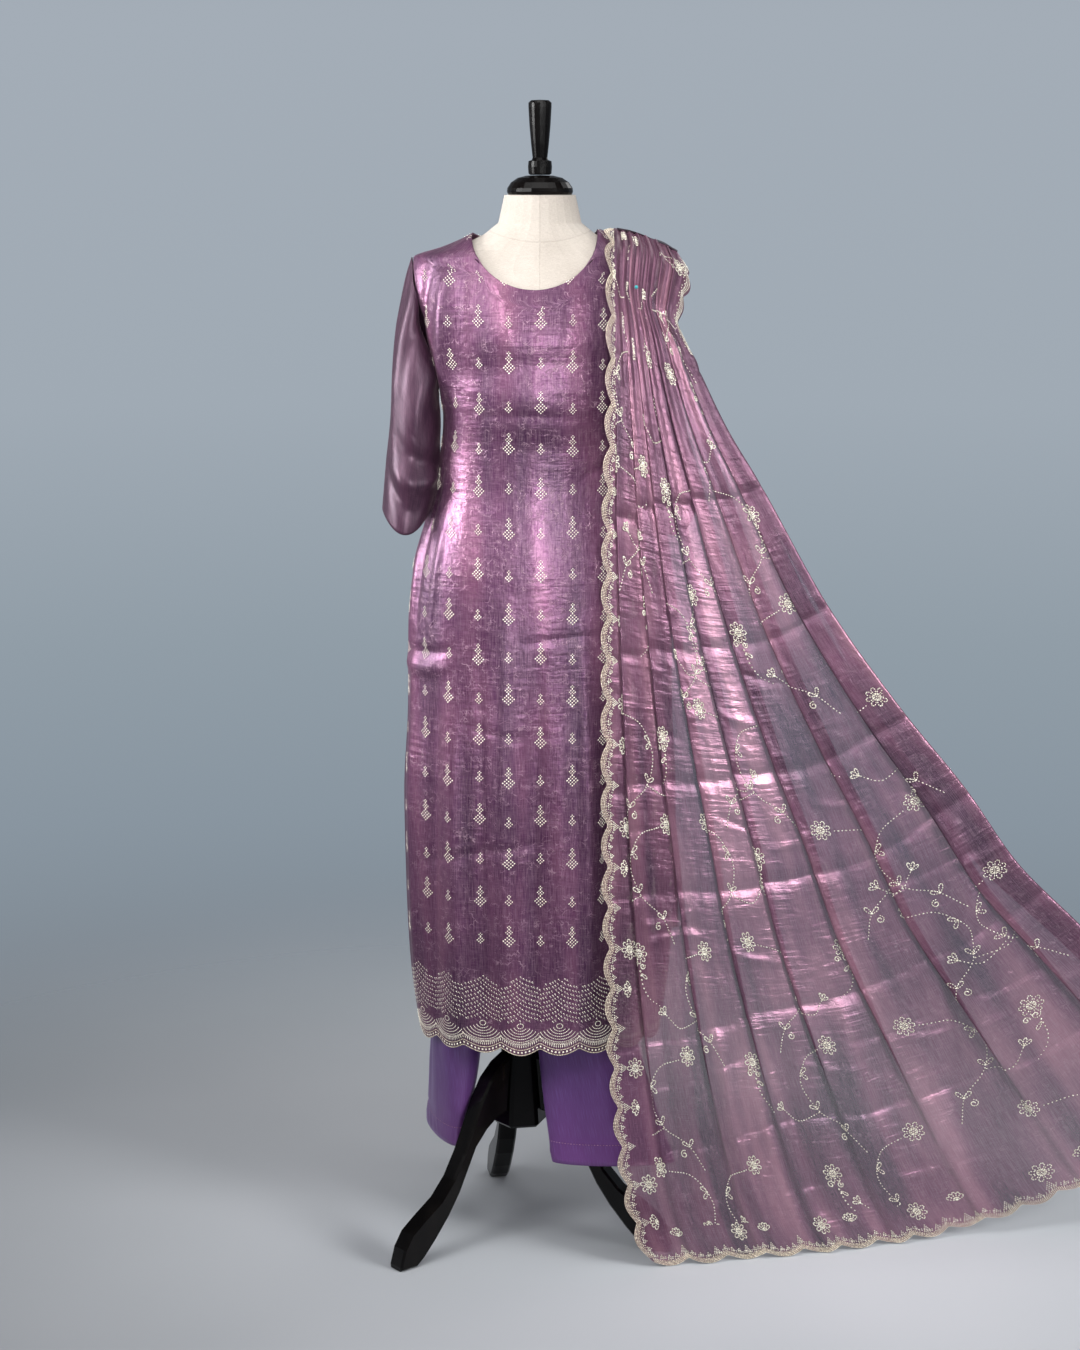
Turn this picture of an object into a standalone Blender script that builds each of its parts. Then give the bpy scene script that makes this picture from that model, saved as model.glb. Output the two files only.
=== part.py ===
"""Salwar kameez suit on a dress form: kameez, straight trousers and pinned dupatta.

Metres, +Z up, +X towards the viewer's right, front towards -Y. The garment tables are
measured from the form's axis; the root empty then puts the middle of the whole model's
box on the origin, standing on the floor. Right and left in names are the wearer's.
"""
import math
from collections import namedtuple

import bmesh
import bpy
import numpy as np

# ---------------------------------------------------------------- driving dimensions
SEAM_GAP = 0.0003            # between two pieces that are sewn or screwed together
CLOTH_WALL = 0.0012          # kameez and trousers
VEIL_WALL = 0.0010           # dupatta and its edging

HEM_Z = 0.3192               # kameez hem, where the scalloped edging begins
SLIT_TOP_Z = 0.850           # side slits of the kameez
SLIT_OPENING = 0.014         # each panel's share of the open slit at the hem
UNDERARM_Z = 1.220
SHOULDER_Z = 1.395           # shoulder tip
ARMHOLE_DEPTH = 0.036        # half of the armhole's width, front to back
NECK_TOP_Z = 1.432
NECK_CENTRE_X = -0.0075
NECK_HALF_WIDTH = 0.085
FRONT_NECK_Z = 1.355
BACK_NECK_Z = 1.413

SCALLOP_PERIOD = 0.058
SCALLOP_DEPTH = 0.007
EDGING_WIDTH = 0.004         # at the notches
SCALLOP_STEPS = 3            # spans of mesh in one scallop

PANEL_COLUMNS = {"front": 23, "back": 19}
PANEL_LOW_ROWS = (HEM_Z, 0.40, 0.53, 0.66, 0.79, 0.89, 0.97, 1.04, 1.09, 1.14, 1.18, UNDERARM_Z)
NECK_STEP = 0.0002           # fineness of the search for the neckline
SLEEVE_COLUMNS = 14
TROUSER_COLUMNS = 21
WAISTBAND_COLUMNS = 28
FORM_COLUMNS = 28
FORM_ROWS = (0.770, 0.83, 0.89, 0.97, 1.04, 1.09, 1.14, 1.18, 1.22, 1.28, 1.33, 1.365, 1.388,
             1.397, 1.406, 1.414, 1.426, 1.441, 1.478)

PIN_RADIUS = 0.0025
PIN_PLACE = (0.1270, -0.0942, 1.3590)

FORM_BOTTOM_Z = 0.770
STAND_X = -0.0286            # the stand's axis, left of the form's
POLE_RADIUS = 0.014
HUB_BOTTOM_Z = 0.165
HUB_TOP_Z = 0.280
HUB_FLAT_BOTTOM = 0.0346     # half across flats
HUB_FLAT_TOP = 0.0245
HUB_EASE = 0.004             # bevel of the hub's edges
LEG_HALF_THICKNESS = 0.014
LEG_HEADINGS = (100, 220, 340)
SCREW_HEAD_RADIUS = 0.0042
SCREW_HEAD_LENGTH = 0.007
SCREW_SEAT_Y = -0.0330       # the collar's front, where the screw head sits

# ---------------------------------------------------------------- section tables
Section = namedtuple("Section", "z half_width front back")
KAMEEZ = [
    Section(0.300, 0.1680, 0.120, 0.112),
    Section(0.350, 0.1765, 0.120, 0.114),
    Section(0.420, 0.1845, 0.120, 0.117),
    Section(0.520, 0.1890, 0.118, 0.119),
    Section(0.650, 0.1910, 0.116, 0.120),
    Section(0.780, 0.1845, 0.114, 0.120),
    Section(0.890, 0.1830, 0.112, 0.120),
    Section(0.970, 0.1750, 0.109, 0.116),
    Section(1.040, 0.1540, 0.100, 0.102),
    Section(1.090, 0.1400, 0.094, 0.088),
    Section(1.140, 0.1345, 0.096, 0.083),
    Section(1.180, 0.1325, 0.106, 0.086),
    Section(1.220, 0.1370, 0.113, 0.094),
    Section(1.280, 0.1500, 0.112, 0.100),
    Section(1.330, 0.1620, 0.102, 0.097),
    Section(1.365, 0.1685, 0.089, 0.089),
    Section(1.395, 0.1710, 0.075, 0.077),
    Section(1.410, 0.1300, 0.069, 0.070),
    Section(1.420, 0.1060, 0.064, 0.064),
    Section(1.432, 0.0830, 0.058, 0.058),
]
FORM = [
    Section(0.770, 0.170, 0.100, 0.104),
    Section(0.890, 0.172, 0.101, 0.108),
    Section(0.970, 0.164, 0.098, 0.105),
    Section(1.040, 0.144, 0.090, 0.092),
    Section(1.090, 0.130, 0.084, 0.078),
    Section(1.140, 0.124, 0.086, 0.073),
    Section(1.180, 0.125, 0.098, 0.078),
    Section(1.220, 0.130, 0.107, 0.088),
    Section(1.280, 0.142, 0.107, 0.095),
    Section(1.330, 0.153, 0.097, 0.092),
    Section(1.365, 0.158, 0.084, 0.084),
    Section(1.388, 0.158, 0.073, 0.074),
    Section(1.403, 0.124, 0.066, 0.067),
    Section(1.414, 0.099, 0.062, 0.062),
    Section(1.426, 0.075, 0.058, 0.058),
    Section(1.441, 0.056, 0.054, 0.054),
    Section(1.478, 0.048, 0.048, 0.048),
]

# One row a soft lengthways fold: place across the panel (0 to 1), width, ends and height.
Fold = namedtuple("Fold", "across width z_low z_high height")
FRONT_FOLDS = [
    Fold(0.24, 0.060, 0.25, 0.98, 0.006),
    Fold(0.43, 0.045, 0.25, 0.90, 0.004),
    Fold(0.62, 0.050, 0.25, 0.80, 0.005),
    Fold(0.80, 0.055, 0.25, 1.00, 0.005),
]
FOLD_FADE = 1.6              # a fold fades over the upper 1 / 1.6 of its length
BACK_FOLDS = [
    Fold(0.20, 0.055, 0.25, 0.95, 0.005),
    Fold(0.42, 0.060, 0.25, 1.02, 0.006),
    Fold(0.66, 0.050, 0.25, 0.88, 0.005),
    Fold(0.84, 0.050, 0.25, 0.97, 0.004),
]

# One row a sleeve ring: outer and inner end of the ring seen from the front, half of its
# depth, and how far its front dips. The left sleeve is held in by the dupatta.
SleeveRing = namedtuple("SleeveRing", "outer_x held_x outer_z inner_x inner_z half_depth dip")
SLEEVE = [
    SleeveRing(0.1800, 0.1745, 1.372, 0.1385, 1.205, 0.044, 0.000),
    SleeveRing(0.1885, 0.1750, 1.335, 0.1372, 1.188, 0.050, 0.000),
    SleeveRing(0.1960, 0.1790, 1.295, 0.1368, 1.170, 0.053, 0.000),
    SleeveRing(0.2010, 0.1880, 1.240, 0.1378, 1.148, 0.055, 0.004),
    SleeveRing(0.2035, 0.1960, 1.185, 0.1400, 1.120, 0.055, 0.008),
    SleeveRing(0.2095, 0.2060, 1.125, 0.1440, 1.092, 0.054, 0.016),
    SleeveRing(0.2160, 0.2140, 1.055, 0.1550, 1.060, 0.052, 0.030),
]

# One row a ring of a trouser leg: centre, half-width, half-depth and turn in degrees.
LegRing = namedtuple("LegRing", "z x y half_width half_depth turn")
RIGHT_LEG = [
    LegRing(0.700, -0.1100, 0.002, 0.0620, 0.0830, 0),
    LegRing(0.600, -0.1140, 0.000, 0.0560, 0.0780, 2),
    LegRing(0.450, -0.1180, 0.000, 0.0460, 0.0720, 4),
    LegRing(0.320, -0.1180, -0.002, 0.0380, 0.0640, 7),
    LegRing(0.250, -0.1240, 0.010, 0.0340, 0.0680, 12),
    LegRing(0.140, -0.1380, 0.032, 0.0200, 0.0735, 18),
]
LEFT_LEG = [
    LegRing(0.700, 0.0560, 0.000, 0.0640, 0.0870, 0),
    LegRing(0.600, 0.0600, -0.008, 0.0660, 0.0800, 0),
    LegRing(0.450, 0.0630, -0.030, 0.0680, 0.0600, 0),
    LegRing(0.320, 0.0660, -0.050, 0.0700, 0.0430, 0),
    LegRing(0.250, 0.0780, -0.066, 0.0760, 0.0330, 0),
    LegRing(0.138, 0.1035, -0.088, 0.0865, 0.0210, 0),
]
HIP_ROWS = (1.058, 0.990, 0.900, 0.765)
TROUSER_INSET = 0.0045       # under the kameez
WAISTBAND_Z = (1.0583, 1.100)

# The dupatta's four edges from the shoulder, one row a place that each edge runs through.
Place = namedtuple("Place", "x y z")
LEFT_EDGE = [
    Place(0.0990, 0.000, 1.4325), Place(0.0980, -0.048, 1.4185), Place(0.0965, -0.095, 1.3740),
    Place(0.0975, -0.119, 1.2900), Place(0.0975, -0.122, 1.2000), Place(0.0945, -0.122, 1.0500),
    Place(0.0945, -0.124, 0.9000), Place(0.0950, -0.128, 0.7500), Place(0.0965, -0.132, 0.6000),
    Place(0.1000, -0.136, 0.4500), Place(0.1050, -0.139, 0.3300), Place(0.1140, -0.141, 0.2200),
    Place(0.1270, -0.142, 0.1200), Place(0.1440, -0.141, 0.0500), Place(0.1580, -0.140, 0.0140),
]
RIGHT_EDGE = [
    Place(0.1880, 0.000, 1.3990), Place(0.1970, -0.032, 1.3740), Place(0.1880, -0.062, 1.3400),
    Place(0.1820, -0.072, 1.3150), Place(0.2030, -0.076, 1.2680), Place(0.2470, -0.074, 1.1750),
    Place(0.2960, -0.070, 1.0930), Place(0.3910, -0.060, 0.9260), Place(0.4970, -0.047, 0.7790),
    Place(0.5930, -0.034, 0.6610), Place(0.6700, -0.024, 0.5530), Place(0.7610, -0.014, 0.4620),
    Place(0.8800, -0.005, 0.3420), Place(1.0000, 0.000, 0.2200),
]
END_EDGE = [
    Place(0.1580, -0.140, 0.0140), Place(0.2600, -0.118, 0.0135), Place(0.3700, -0.097, 0.0135),
    Place(0.4700, -0.071, 0.0140), Place(0.5500, -0.046, 0.0160), Place(0.6100, -0.031, 0.0250),
    Place(0.6700, -0.021, 0.0400), Place(0.7400, -0.013, 0.0620), Place(0.8100, -0.008, 0.0960),
    Place(0.9000, -0.003, 0.1530), Place(1.0000, 0.000, 0.2200),
]
BACK_LEFT_EDGE = [
    Place(0.0990, 0.000, 1.4325), Place(0.0970, 0.048, 1.4225), Place(0.0950, 0.092, 1.3740),
    Place(0.0930, 0.108, 1.2800), Place(0.0920, 0.116, 1.1500), Place(0.0900, 0.124, 1.0000),
    Place(0.0860, 0.138, 0.8500), Place(0.0800, 0.143, 0.6500), Place(0.0760, 0.145, 0.4500),
]
BACK_RIGHT_EDGE = [
    Place(0.1880, 0.000, 1.3990), Place(0.1895, 0.040, 1.3800), Place(0.1780, 0.074, 1.3250),
    Place(0.1720, 0.092, 1.2400), Place(0.1740, 0.099, 1.1200), Place(0.1810, 0.106, 0.9800),
    Place(0.1890, 0.116, 0.8300), Place(0.1970, 0.122, 0.6300), Place(0.2040, 0.124, 0.4300),
]

# One row a pleat: its share of the fan's width.
Pleat = namedtuple("Pleat", "share")
PLEATS = [Pleat(0.12), Pleat(0.10), Pleat(0.11), Pleat(0.13), Pleat(0.16), Pleat(0.18), Pleat(0.20)]
PLEAT_STEPS = 4
CLOTH_ACROSS = 0.91          # cloth width held in the fan
FRONT_ROWS = 24
BACK_ROWS = 9
TURN_RADIUS = 0.003          # where the far border is folded under
# Width of the far border that is folded under, by place down the edge (0 to 1).
Under = namedtuple("Under", "down width")
FOLDED_UNDER = [Under(0.0, 0.008), Under(0.38, 0.010), Under(0.50, 0.040), Under(0.60, 0.050),
                Under(0.72, 0.038), Under(1.0, 0.028)]

# Outlines of turned and shaped wood: radius or reach, and height.
Turn = namedtuple("Turn", "radius z")
NECK_CAP = [Turn(0.0, 1.5040), Turn(0.0180, 1.5034), Turn(0.0300, 1.5005), Turn(0.0390, 1.4945),
            Turn(0.0440, 1.4870), Turn(0.0446, 1.4823), Turn(0.0430, 1.4783), Turn(0.0, 1.4783)]
FINIAL = [Turn(0.0, 1.6030), Turn(0.0120, 1.6022), Turn(0.0155, 1.5990), Turn(0.0155, 1.5930),
          Turn(0.0142, 1.5700), Turn(0.0120, 1.5450), Turn(0.0100, 1.5270), Turn(0.0112, 1.5240),
          Turn(0.0155, 1.5225), Turn(0.0162, 1.5150), Turn(0.0155, 1.5060), Turn(0.0130, 1.5043),
          Turn(0.0, 1.5043)]
HUB_COLLAR = [Turn(0.0, 1.0), Turn(0.0200, 1.0), Turn(0.0270, 0.93), Turn(0.0310, 0.75),
              Turn(0.0330, 0.50), Turn(0.0310, 0.25), Turn(0.0270, 0.07), Turn(0.0220, 0.0),
              Turn(0.0, 0.0)]
HUB_COLLAR_HEIGHT = 0.026
LEG_TOP = [Turn(0.0262, 0.272), Turn(0.045, 0.262), Turn(0.065, 0.243), Turn(0.082, 0.215),
           Turn(0.097, 0.180), Turn(0.113, 0.145), Turn(0.132, 0.112), Turn(0.155, 0.086),
           Turn(0.185, 0.066), Turn(0.207, 0.050), Turn(0.220, 0.030), Turn(0.227, 0.006),
           Turn(0.2265, 0.000)]
LEG_UNDERSIDE = [Turn(0.197, 0.000), Turn(0.184, 0.010), Turn(0.165, 0.030), Turn(0.140, 0.060),
                 Turn(0.120, 0.090), Turn(0.104, 0.122), Turn(0.090, 0.150), Turn(0.070, 0.172),
                 Turn(0.050, 0.186), Turn(0.0336, 0.190)]
LEG_BEVEL = 0.003


# ---------------------------------------------------------------- curves and surfaces
def smooth_curve(knots, values):
    """Smooth curve through the values at rising knots; it never overshoots a value."""
    knots = np.asarray(knots, float)
    values = np.asarray(values, float)
    steps = np.diff(knots)
    rises = np.diff(values) / steps
    slopes = np.zeros(len(knots))
    slopes[0], slopes[-1] = rises[0], rises[-1]
    same_way = rises[:-1] * rises[1:] > 0
    harmonic = 2 * rises[:-1] * rises[1:] / np.where(same_way, rises[:-1] + rises[1:], 1)
    slopes[1:-1] = np.where(same_way, harmonic, 0)

    def at(place):
        place = np.clip(place, knots[0], knots[-1])
        i = np.clip(np.searchsorted(knots, place, side="right") - 1, 0, len(steps) - 1)
        t = (place - knots[i]) / steps[i]
        rise = values[i + 1] - values[i]
        start, end = slopes[i] * steps[i], slopes[i + 1] * steps[i]
        return values[i] + t * (start + t * (3 * rise - 2 * start - end + t * (start + end - 2 * rise)))
    return at


def columns(table, key):
    """One smooth curve for each column of a table, by its key column."""
    knots = [getattr(row, key) for row in table]
    return {name: smooth_curve(knots, [getattr(row, name) for row in table])
            for name in table[0]._fields if name != key}


def path(places):
    """Smooth path through places in space, by its share of length from 0 to 1."""
    points = np.array(places, float)
    lengths = np.concatenate([[0], np.cumsum(np.linalg.norm(np.diff(points, axis=0), axis=1))])
    axes = [smooth_curve(lengths / lengths[-1], points[:, axis]) for axis in range(3)]
    return lambda share: np.array([axis(share) for axis in axes])


def patch(left, right, top, bottom):
    """Surface between four edges: across and down both run from 0 to 1."""
    corners = left(0.0), right(0.0), left(1.0), right(1.0)

    def at(across, down):
        sides = (1 - across) * left(down) + across * right(down)
        ends = (1 - down) * top(across) + down * bottom(across)
        upper = (1 - across) * corners[0] + across * corners[1]
        lower = (1 - across) * corners[2] + across * corners[3]
        return sides + ends - (1 - down) * upper - down * lower
    return at


def unit(vectors):
    return vectors / np.maximum(np.linalg.norm(vectors, axis=-1, keepdims=True), 1e-12)


def grid_normals(grid, closed=False):
    """Unit normals of a grid of points: (along the rows) x (down the columns)."""
    if closed:
        across = np.roll(grid, -1, axis=1) - np.roll(grid, 1, axis=1)
    else:
        across = np.gradient(grid, axis=1, edge_order=2)
    down = np.gradient(grid, axis=0, edge_order=2 if len(grid) > 2 else 1)
    return unit(np.cross(across, down))


# ---------------------------------------------------------------- building objects
def linear(level):
    return level / 12.92 if level <= 0.04045 else ((level + 0.055) / 1.055) ** 2.4


def material(name, rgb, roughness, metallic=0.0, alpha=1.0):
    made = bpy.data.materials.new(name)
    made.use_nodes = True
    shader = made.node_tree.nodes["Principled BSDF"]
    colour = tuple(linear(value / 255) for value in rgb) + (1.0,)
    shader.inputs["Base Color"].default_value = colour
    shader.inputs["Roughness"].default_value = roughness
    shader.inputs["Metallic"].default_value = metallic
    shader.inputs["Alpha"].default_value = alpha
    made.diffuse_color = colour
    return made


def add_object(name, data, finish):
    made = bpy.data.objects.new(name, data)
    made.data.materials.append(finish)
    PARTS.objects.link(made)
    made.parent = ROOT
    return made


def shell(name, grid, wall, finish, closed=False, normals=None):
    """Closed wall of cloth: the grid is its outer face, normals point out of it."""
    if normals is None:
        normals = grid_normals(grid, closed)
    rows, cols = grid.shape[:2]
    inner = grid - wall * normals
    vertices = np.concatenate([grid.reshape(-1, 3), inner.reshape(-1, 3)])
    inside = rows * cols
    faces = []
    spans = cols if closed else cols - 1
    for i in range(rows - 1):
        for j in range(spans):
            a, b = i * cols + j, i * cols + (j + 1) % cols
            c, d = b + cols, a + cols
            faces += [(a, b, c), (a, c, d)]
            faces += [(inside + c, inside + b, inside + a), (inside + d, inside + c, inside + a)]
    for j in range(spans):
        a, b = j, (j + 1) % cols
        faces.append((inside + a, inside + b, b, a))
        a, b = a + (rows - 1) * cols, b + (rows - 1) * cols
        faces.append((a, b, inside + b, inside + a))
    if not closed:
        for i in range(rows - 1):
            a, b = i * cols, (i + 1) * cols
            faces.append((a, b, inside + b, inside + a))
            a, b = a + cols - 1, b + cols - 1
            faces.append((inside + a, inside + b, b, a))
    mesh = bpy.data.meshes.new(name)
    mesh.from_pydata(vertices.tolist(), [], faces)
    mesh.shade_smooth()
    mesh.set_sharp_from_angle(angle=math.radians(50))
    return add_object(name, orient(mesh), finish)


def orient(mesh):
    """Turn a closed mesh's faces outwards."""
    work = bmesh.new()
    work.from_mesh(mesh)
    bmesh.ops.recalc_face_normals(work, faces=work.faces)
    work.to_mesh(mesh)
    work.free()
    return mesh


def turned(name, outline, finish, centre_x=0.0, steps=24):
    """Solid of revolution: the outline runs down its outer side, from axis to axis."""
    mesh = bpy.data.meshes.new(name)
    mesh.from_pydata([(p.radius, 0.0, p.z) for p in outline],
                     [(i, i + 1) for i in range(len(outline) - 1)], [])
    made = add_object(name, mesh, finish)
    made.location.x = centre_x
    screw = made.modifiers.new("Screw", "SCREW")
    screw.steps = screw.render_steps = steps
    screw.use_merge_vertices = True
    screw.merge_threshold = 0.00005
    screw.use_smooth_shade = True
    return made


# ---------------------------------------------------------------- kameez
BODY = columns(KAMEEZ, "z")


def edge_distance(z):
    """How far a panel's side edge lies from the side line: slit, seam, armhole, shoulder."""
    if z < SLIT_TOP_Z:
        return SEAM_GAP / 2 + SLIT_OPENING * ((SLIT_TOP_Z - z) / (SLIT_TOP_Z - HEM_Z)) ** 2
    if z <= UNDERARM_Z or z >= SHOULDER_Z:
        return SEAM_GAP / 2
    height = (2 * z - UNDERARM_Z - SHOULDER_Z) / (SHOULDER_Z - UNDERARM_Z)
    return SEAM_GAP / 2 + ARMHOLE_DEPTH * math.sqrt(1 - height ** 2)


def panel_point(side, across, z):
    """Point of the front (side -1) or back (side 1) panel: across is 0 at -X and 1 at +X."""
    depth = float(BODY["front" if side < 0 else "back"](z))
    first = math.asin(edge_distance(z) / depth)
    angle = first + (math.pi - 2 * first) * across
    width = float(BODY["half_width"](z)) / math.cos(first)
    swell = 0.0
    for fold in FRONT_FOLDS if side < 0 else BACK_FOLDS:
        length = (z - fold.z_low) / (fold.z_high - fold.z_low)
        if 0 < length < 1:
            spread = (across - fold.across) * math.pi * width / fold.width
            rise = math.sin(math.pi / 2 * min(1, FOLD_FADE * (1 - length)))
            swell += fold.height * rise * math.exp(-2 * spread ** 2)
    return np.array([-width * math.cos(angle), side * (depth + swell) * math.sin(angle), z])


def neck_height(side, across):
    """Height at which a column of the panel meets the neckline."""
    bottom = FRONT_NECK_Z if side < 0 else BACK_NECK_Z
    z = bottom
    while z < NECK_TOP_Z:
        reach = NECK_HALF_WIDTH * math.sqrt(1 - ((NECK_TOP_Z - z) / (NECK_TOP_Z - bottom)) ** 2)
        if abs(panel_point(side, across, z)[0] - NECK_CENTRE_X) <= reach:
            break
        z += NECK_STEP
    return min(z, NECK_TOP_Z)


def panel_grid(side, cols, low_rows, high_rows):
    """Rows from the hem to the underarm, then on to each column's place on the neckline."""
    shares = np.linspace(0, 1, cols)
    tops = [neck_height(side, across) for across in shares]
    rows = [[panel_point(side, across, z) for across in shares] for z in low_rows]
    for step in high_rows:
        rows.append([panel_point(side, across, UNDERARM_Z + step * (top - UNDERARM_Z))
                     for across, top in zip(shares, tops)])
    return np.array(rows)


def kameez_panels():
    tip = (SHOULDER_Z - UNDERARM_Z) / (NECK_TOP_Z - UNDERARM_Z)
    high_rows = (0.15 * tip, 0.5 * tip, 0.85 * tip, tip, 0.5 + 0.5 * tip, 1.0)
    for side, label in ((-1, "front"), (1, "back")):
        cols = PANEL_COLUMNS[label]
        grid = panel_grid(side, cols, PANEL_LOW_ROWS, high_rows)
        normals = grid_normals(grid)
        if side > 0:
            normals = -normals
        shell("kameez_" + label, grid, CLOTH_WALL, SILK, normals=normals)
        down = np.tile((0.0, 0.0, -1.0), (cols, 1))
        edging("kameez_edging_" + label, grid[0], normals[0], down, CLOTH_WALL, SILK)


def edging(name, edge, normals, away, wall, finish):
    """Scalloped strip along a panel's edge, a seam's width away from it."""
    lengths = np.concatenate([[0], np.cumsum(np.linalg.norm(np.diff(edge, axis=0), axis=1))])
    scallop = lengths[-1] / max(1, round(lengths[-1] / SCALLOP_PERIOD))
    steps = np.arange(0, lengths[-1], scallop / SCALLOP_STEPS)
    near = np.min(np.abs(steps[:, None] - lengths[None, :]), axis=1) < 0.1 * scallop / SCALLOP_STEPS
    stations = np.sort(np.concatenate([steps[~near], lengths]))
    phases = stations / scallop % 1.0

    def spread(values):
        return np.stack([np.interp(stations, lengths, values[:, axis]) for axis in range(3)], axis=1)
    points, outs, faces_out = spread(edge), unit(spread(away)), unit(spread(normals))
    reach = SEAM_GAP + EDGING_WIDTH + SCALLOP_DEPTH * np.sin(math.pi * phases)
    grid = np.stack([points + SEAM_GAP * outs, points + reach[:, None] * outs])
    shell(name, grid, wall, finish, normals=np.stack([faces_out, faces_out]))


# ---------------------------------------------------------------- sleeves
def sleeve(name, way):
    """Tube from the armhole to the cuff; way is -1 for the -X side and 1 for the +X side."""
    angles = np.arange(SLEEVE_COLUMNS) * 2 * math.pi / SLEEVE_COLUMNS
    middle_z, half_z = (SHOULDER_Z + UNDERARM_Z) / 2, (SHOULDER_Z - UNDERARM_Z) / 2
    rings = []
    ring = []
    for angle in angles:
        z = middle_z + half_z * math.cos(angle)
        out = float(BODY["half_width"](z)) + SEAM_GAP + CLOTH_WALL
        ring.append((way * out, -ARMHOLE_DEPTH * math.sin(angle), z))
    rings.append(ring)
    for row in SLEEVE:
        outer_x = row.outer_x if way < 0 else row.held_x
        ring = []
        for angle in angles:
            outward = (1 + math.cos(angle)) / 2
            x = row.inner_x + (outer_x - row.inner_x) * outward
            z = row.inner_z + (row.outer_z - row.inner_z) * outward
            front = math.sin(angle)
            ring.append((way * x, -row.half_depth * front, z - row.dip * max(0.0, front) ** 2))
        rings.append(ring)
    grid = np.array(rings)
    normals = grid_normals(grid, closed=True)
    return shell(name, grid, CLOTH_WALL, SILK, closed=True, normals=normals if way < 0 else -normals)


# ---------------------------------------------------------------- trousers
def hip_row(way, z, cols, inset):
    """Half ring from the centre front, round one hip, to the centre back."""
    points = []
    for share in np.linspace(0, 1, cols):
        angle = math.pi * (share - 0.5)
        half = float(BODY["half_width"](z)) - inset
        depth = float(BODY["front" if angle < 0 else "back"](z)) - inset
        x = SEAM_GAP / 2 + (half - SEAM_GAP / 2) * math.cos(angle)
        points.append((way * x, depth * math.sin(angle), z))
    return points


def leg_row(way, ring, cols):
    """Ring of a leg, from the inseam round its front and outside to the inseam again."""
    turn = math.radians(ring.turn)
    opening = SEAM_GAP / (2 * ring.half_depth)
    points = []
    for angle in np.linspace(-math.pi + opening, math.pi - opening, cols):
        wide = way * ring.half_width * math.cos(angle)
        deep = ring.half_depth * math.sin(angle)
        points.append((ring.x + wide * math.cos(turn) - deep * math.sin(turn),
                       ring.y + wide * math.sin(turn) + deep * math.cos(turn), ring.z))
    return points


def trouser(name, way, rings):
    """One leg: half rings round the hip, then whole rings down the leg."""
    rows = [hip_row(way, z, TROUSER_COLUMNS, TROUSER_INSET) for z in HIP_ROWS]
    rows += [leg_row(way, ring, TROUSER_COLUMNS) for ring in rings]
    grid = np.array(rows)
    normals = grid_normals(grid)
    shell(name, grid, CLOTH_WALL, SATIN, normals=-normals if way > 0 else normals)


def waistband():
    """Upright band round the waist, above the two legs."""
    rows = []
    for z in WAISTBAND_Z:
        half = float(BODY["half_width"](z)) - TROUSER_INSET
        ring = []
        for angle in np.arange(WAISTBAND_COLUMNS) * 2 * math.pi / WAISTBAND_COLUMNS:
            depth = float(BODY["front" if math.sin(angle) < 0 else "back"](z)) - TROUSER_INSET
            ring.append((half * math.cos(angle), depth * math.sin(angle), z))
        rows.append(ring)
    shell("trouser_waistband", np.array(rows), CLOTH_WALL, SATIN, closed=True)


# ---------------------------------------------------------------- dupatta
def wave(share_of_chord, places):
    """Cross-section of one pleat, made by swinging its direction to and fro.

    Gives the place along the chord and the height off it, both for a chord of 1.
    """
    steps = np.linspace(0, 1, 65)
    low, high = 0.0, 2.4
    for _ in range(30):
        swing = (low + high) / 2
        if np.mean(np.cos(swing * np.sin(2 * math.pi * steps[:-1]))) > share_of_chord:
            low = swing
        else:
            high = swing
    heading = swing * np.sin(2 * math.pi * steps)

    def summed(values):
        return np.concatenate([[0], np.cumsum((values[1:] + values[:-1]) / 2 * np.diff(steps))])
    along, height = summed(np.cos(heading)), summed(np.sin(heading))
    return np.interp(places, steps, along / along[-1]), np.interp(places, steps, height / along[-1])


def veil_grid(surface, rows, side, tightest):
    """Pleated sheet on a patch in front (side 1) or behind (side -1) of the shoulder.

    tightest(down) is the least share of chord to cloth.
    """
    marks = np.concatenate([[0], np.cumsum([pleat.share for pleat in PLEATS])])
    places = np.arange(PLEAT_STEPS) / PLEAT_STEPS
    small = 0.002
    grid = []
    for down in rows:
        ends = [surface(mark, down) for mark in marks]
        chord = sum(np.linalg.norm(b - a) for a, b in zip(ends, ends[1:]))
        share = min(0.995, max(chord / CLOTH_ACROSS, tightest(down)))
        along, height = wave(share, places)
        row = []
        for k in range(len(PLEATS)):
            width = np.linalg.norm(ends[k + 1] - ends[k])
            for place, rise in zip(along, height):
                across = marks[k] + (marks[k + 1] - marks[k]) * place
                here = surface(across, down)
                step_across = surface(min(1, across + small), down) - surface(max(0, across - small), down)
                step_down = surface(across, min(1, down + small)) - surface(across, max(0, down - small))
                if down == 0:
                    step_down = np.array((0.0, -side, 0.0))
                outward = unit(np.cross(step_down, step_across))
                row.append(here + side * outward * rise * width)
        row.append(surface(1.0, down))
        grid.append(row)
    return np.array(grid)


def veil_normals(grid, side):
    """Outward normals of a stretch; at the shoulder ridge they stand upright."""
    normals = -side * grid_normals(grid)
    normals[0, :, 1] = 0.0
    return unit(normals)


def fold_under(grid, rows):
    """Turn the far border under: a tight turn at the last column, then back behind it."""
    width = smooth_curve([row.down for row in FOLDED_UNDER], [row.width for row in FOLDED_UNDER])
    outward = -grid_normals(grid)[:, -1]
    aside = unit(grid[:, -1] - grid[:, -2])
    aside = unit(aside - outward * np.sum(aside * outward, axis=1, keepdims=True))
    last = grid[:, -1]
    strip = width(np.array(rows))[:, None]
    extra = [last + TURN_RADIUS * (aside - outward),
             last - 2 * TURN_RADIUS * outward,
             last - 2 * TURN_RADIUS * outward - aside * strip]
    return np.concatenate([grid, np.stack(extra, axis=1)], axis=1)


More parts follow.
